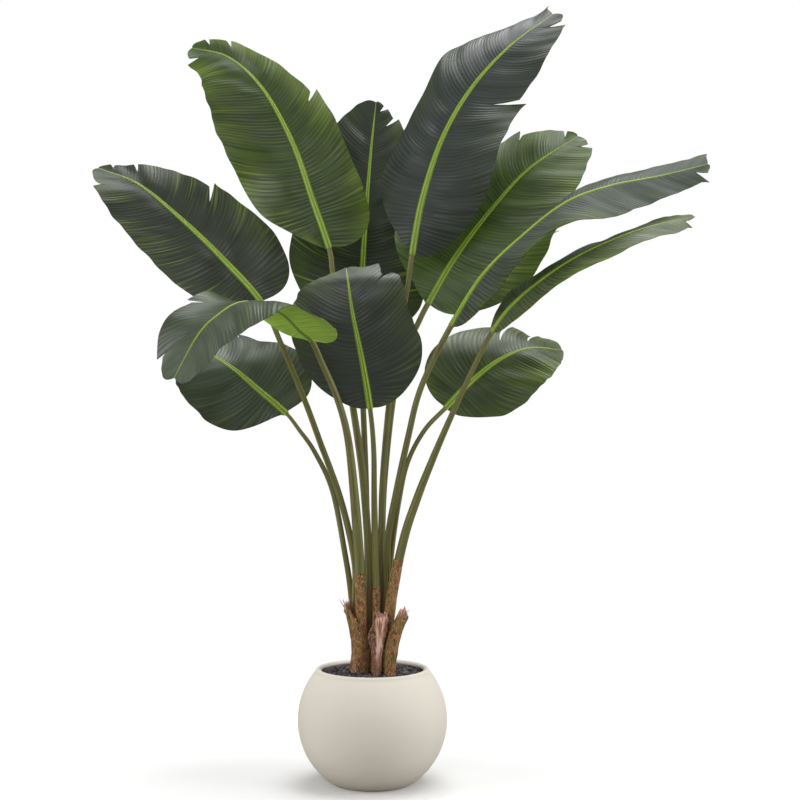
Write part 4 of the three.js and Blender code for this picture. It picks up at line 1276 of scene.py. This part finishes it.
# ------------------------------------------------------------------------------ Ribs
# The lime midrib of each leaf: a soft moulded strip, welded through the cloth so that it
# shows on both faces. It has a groove down its middle and runs out before the tip.
RIB_END = .95
RIB_START = -.006
RIB_ROWS = 150
RIB_MARGIN = .0006
RIB_TIP_WIDTH = .12
RIB_TIP_TAPER = 14
RIB_NECK_WIDTH = .55
RIB_NECK_TAPER = 30
RIB_EDGE_ANGLE = 75
RIB_SEAT = BLADE_THICKNESS * .3
RIB_RISE = .62
RIB_BACK_WIDTH = .9
RIB_BACK_RISE = .42
GROOVE_PLACE = .25
RIB_LIME = (130, 158, 38)
RIB_BRIGHT = (150, 178, 54)
RIB_GROOVE = (92, 120, 34)
RIB_ARCH = [
    (-1, .0), (-.92, .45), (-.72, .82), (-.46, .96), (-.24, .78), (0, .6),
    (.24, .78), (.46, .96), (.72, .82), (.92, .45), (1, .0),
]


def rib_finish():
    """Lime plastic with painted shade down the groove in its middle, darker edges and flecks."""
    finish, shader = new_finish("lime rib", .4, .5)
    skin = skin_map(finish, "skin")
    streak = grain(skin, (14, 30, 1), 3)
    fleck = grain(skin, (40, 140, 1), 2)
    off = worked("ABSOLUTE", worked("SUBTRACT", parts_of(skin)["X"], GROOVE_PLACE))
    color = tinted(RIB_LIME, RIB_BRIGHT, streak, .35, .65)
    # Painted shade down the groove in the rib's middle.
    color = tinted(color, RIB_GROOVE, off, .075, .02, .85)
    color = tinted(color, RIB_GROOVE, off, .17, .24, .7)
    color = tinted(color, RIB_GROOVE, fleck, .6, .75, .4)
    return wear(finish, shader, color, scaled(fleck, .32, .5), relief(fleck, .0002))


def rib_rings(leaf):
    """Rings of a rib: an arch on the blade's upper face and a flatter one underneath."""
    rings = []
    for level in np.linspace(0, 1, RIB_ROWS):
        distance = leaf["neck"] + RIB_START + level * (RIB_END * leaf["blade"] - RIB_START)
        s = max((distance - leaf["neck"]) / leaf["blade"], 0)
        half = (strip_at(s) - RIB_MARGIN) * min(1, (1 - level) * RIB_TIP_TAPER + RIB_TIP_WIDTH)
        half *= min(1, RIB_NECK_WIDTH + level * RIB_NECK_TAPER)
        centre, _, up, across = frame_at(leaf, distance)
        ring = [centre + across * x * half + up * (RIB_SEAT + z * half * RIB_RISE)
                for x, z in RIB_ARCH]
        ring += [centre + across * x * half * RIB_BACK_WIDTH
                 - up * (RIB_SEAT + z * half * RIB_BACK_RISE) for x, z in reversed(RIB_ARCH)]
        rings.append(ring)
    return rings


lime_rib = rib_finish()
for name, leaf in LEAVES.items():
    points, faces, corners = ring_body(rib_rings(leaf))
    corners = np.array(corners)
    corners[:, 0] /= corners[:, 0].max()
    skin = {"skin": corners}
    rib = new_piece(f"moulded_rib_{name}", points, faces, [lime_rib], skin, RIB_EDGE_ANGLE)
    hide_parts(f"rib_{name}")

# ------------------------------------------------------------------- Floor and lights
# A pale studio floor that fades into a white room. Tall soft lamps stand left and right,
# a broad one hangs overhead for the sheen on the leaves, and a weak one fills the front.
FLOOR_RADIUS = 40
FLOOR_SIDES = 64
FLOOR_FADE = (.35, 1.6)
FLOOR_COLOR = (238, 238, 238)
FLOOR_CLOUD = (235, 235, 235)
FLOOR_BOUNCE = (176, 174, 170)
ROOM_SEEN = 1.0
ROOM_LIGHT = .3
LAMPS = [
    ("left lamp", (-3.0, -.9, 1.5), (0, 0, .8), 2.4, 60),
    ("right lamp", (3.0, -.7, 1.5), (0, 0, .8), 2.4, 70),
    ("top lamp", (.6, .8, 5), (0, 0, .9), 4, 230),
    ("front lamp", (-.9, -3.8, 2.4), (0, 0, .8), 1.8, 30),
]


def room_light(tree):
    """Full strength where the camera looks at it, and a weaker one as light."""
    seen = node(tree, "LightPath", {}).outputs["Is Camera Ray"]
    return scaled(seen, ROOM_LIGHT, ROOM_SEEN)


def floor_finish():
    """Pale to the camera, greyer where it throws light back, and fading into the room."""
    finish, shader = new_finish("pale floor", .9, .1)
    tree = finish.node_tree
    place = object_place(finish)
    pale = over(grain(place, (3, 3, 3), 2), FLOOR_COLOR, FLOOR_CLOUD)
    seen = node(tree, "LightPath", {}).outputs["Is Camera Ray"]
    wear(finish, shader, over(seen, FLOOR_BOUNCE, pale))
    away = node(tree, "VectorMath", {0: place}, operation="LENGTH").outputs["Value"]
    room = node(tree, "Emission", {"Strength": room_light(tree)}).outputs[0]
    inputs = {0: ramp(away, *FLOOR_FADE), 1: shader.outputs[0], 2: room}
    faded = node(tree, "MixShader", inputs).outputs[0]
    tree.links.new(faded, tree.nodes["Material Output"].inputs["Surface"])
    return finish


rim = [(FLOOR_RADIUS * math.cos(a), FLOOR_RADIUS * math.sin(a), 0)
       for a in np.linspace(0, 2 * math.pi, FLOOR_SIDES, endpoint=False)]
floor_sheet = bpy.data.meshes.new("floor")
floor_sheet.from_pydata(rim, [], [tuple(range(FLOOR_SIDES))])
floor_sheet.materials.append(floor_finish())
floor = bpy.data.objects.new("floor", floor_sheet)
bpy.context.scene.collection.objects.link(floor)

for name, place, target, size, power in LAMPS:
    lamp = bpy.data.objects.new(name, bpy.data.lights.new(name, "AREA"))
    lamp.data.size = size
    lamp.data.energy = power
    lamp.location = place
    aim = Vector(target) - Vector(place)
    lamp.rotation_euler = aim.to_track_quat("-Z", "Y").to_euler()
    bpy.context.scene.collection.objects.link(lamp)

room = bpy.data.worlds.new("white room")
room.use_nodes = True
background = room.node_tree.nodes["Background"]
background.inputs["Color"].default_value = (1, 1, 1, 1)
room.node_tree.links.new(room_light(room.node_tree), background.inputs["Strength"])
bpy.context.scene.world = room
bpy.context.scene.view_settings.view_transform = "Standard"

# -------------------------------------------------------------------------- Last update
bpy.context.view_layer.update()
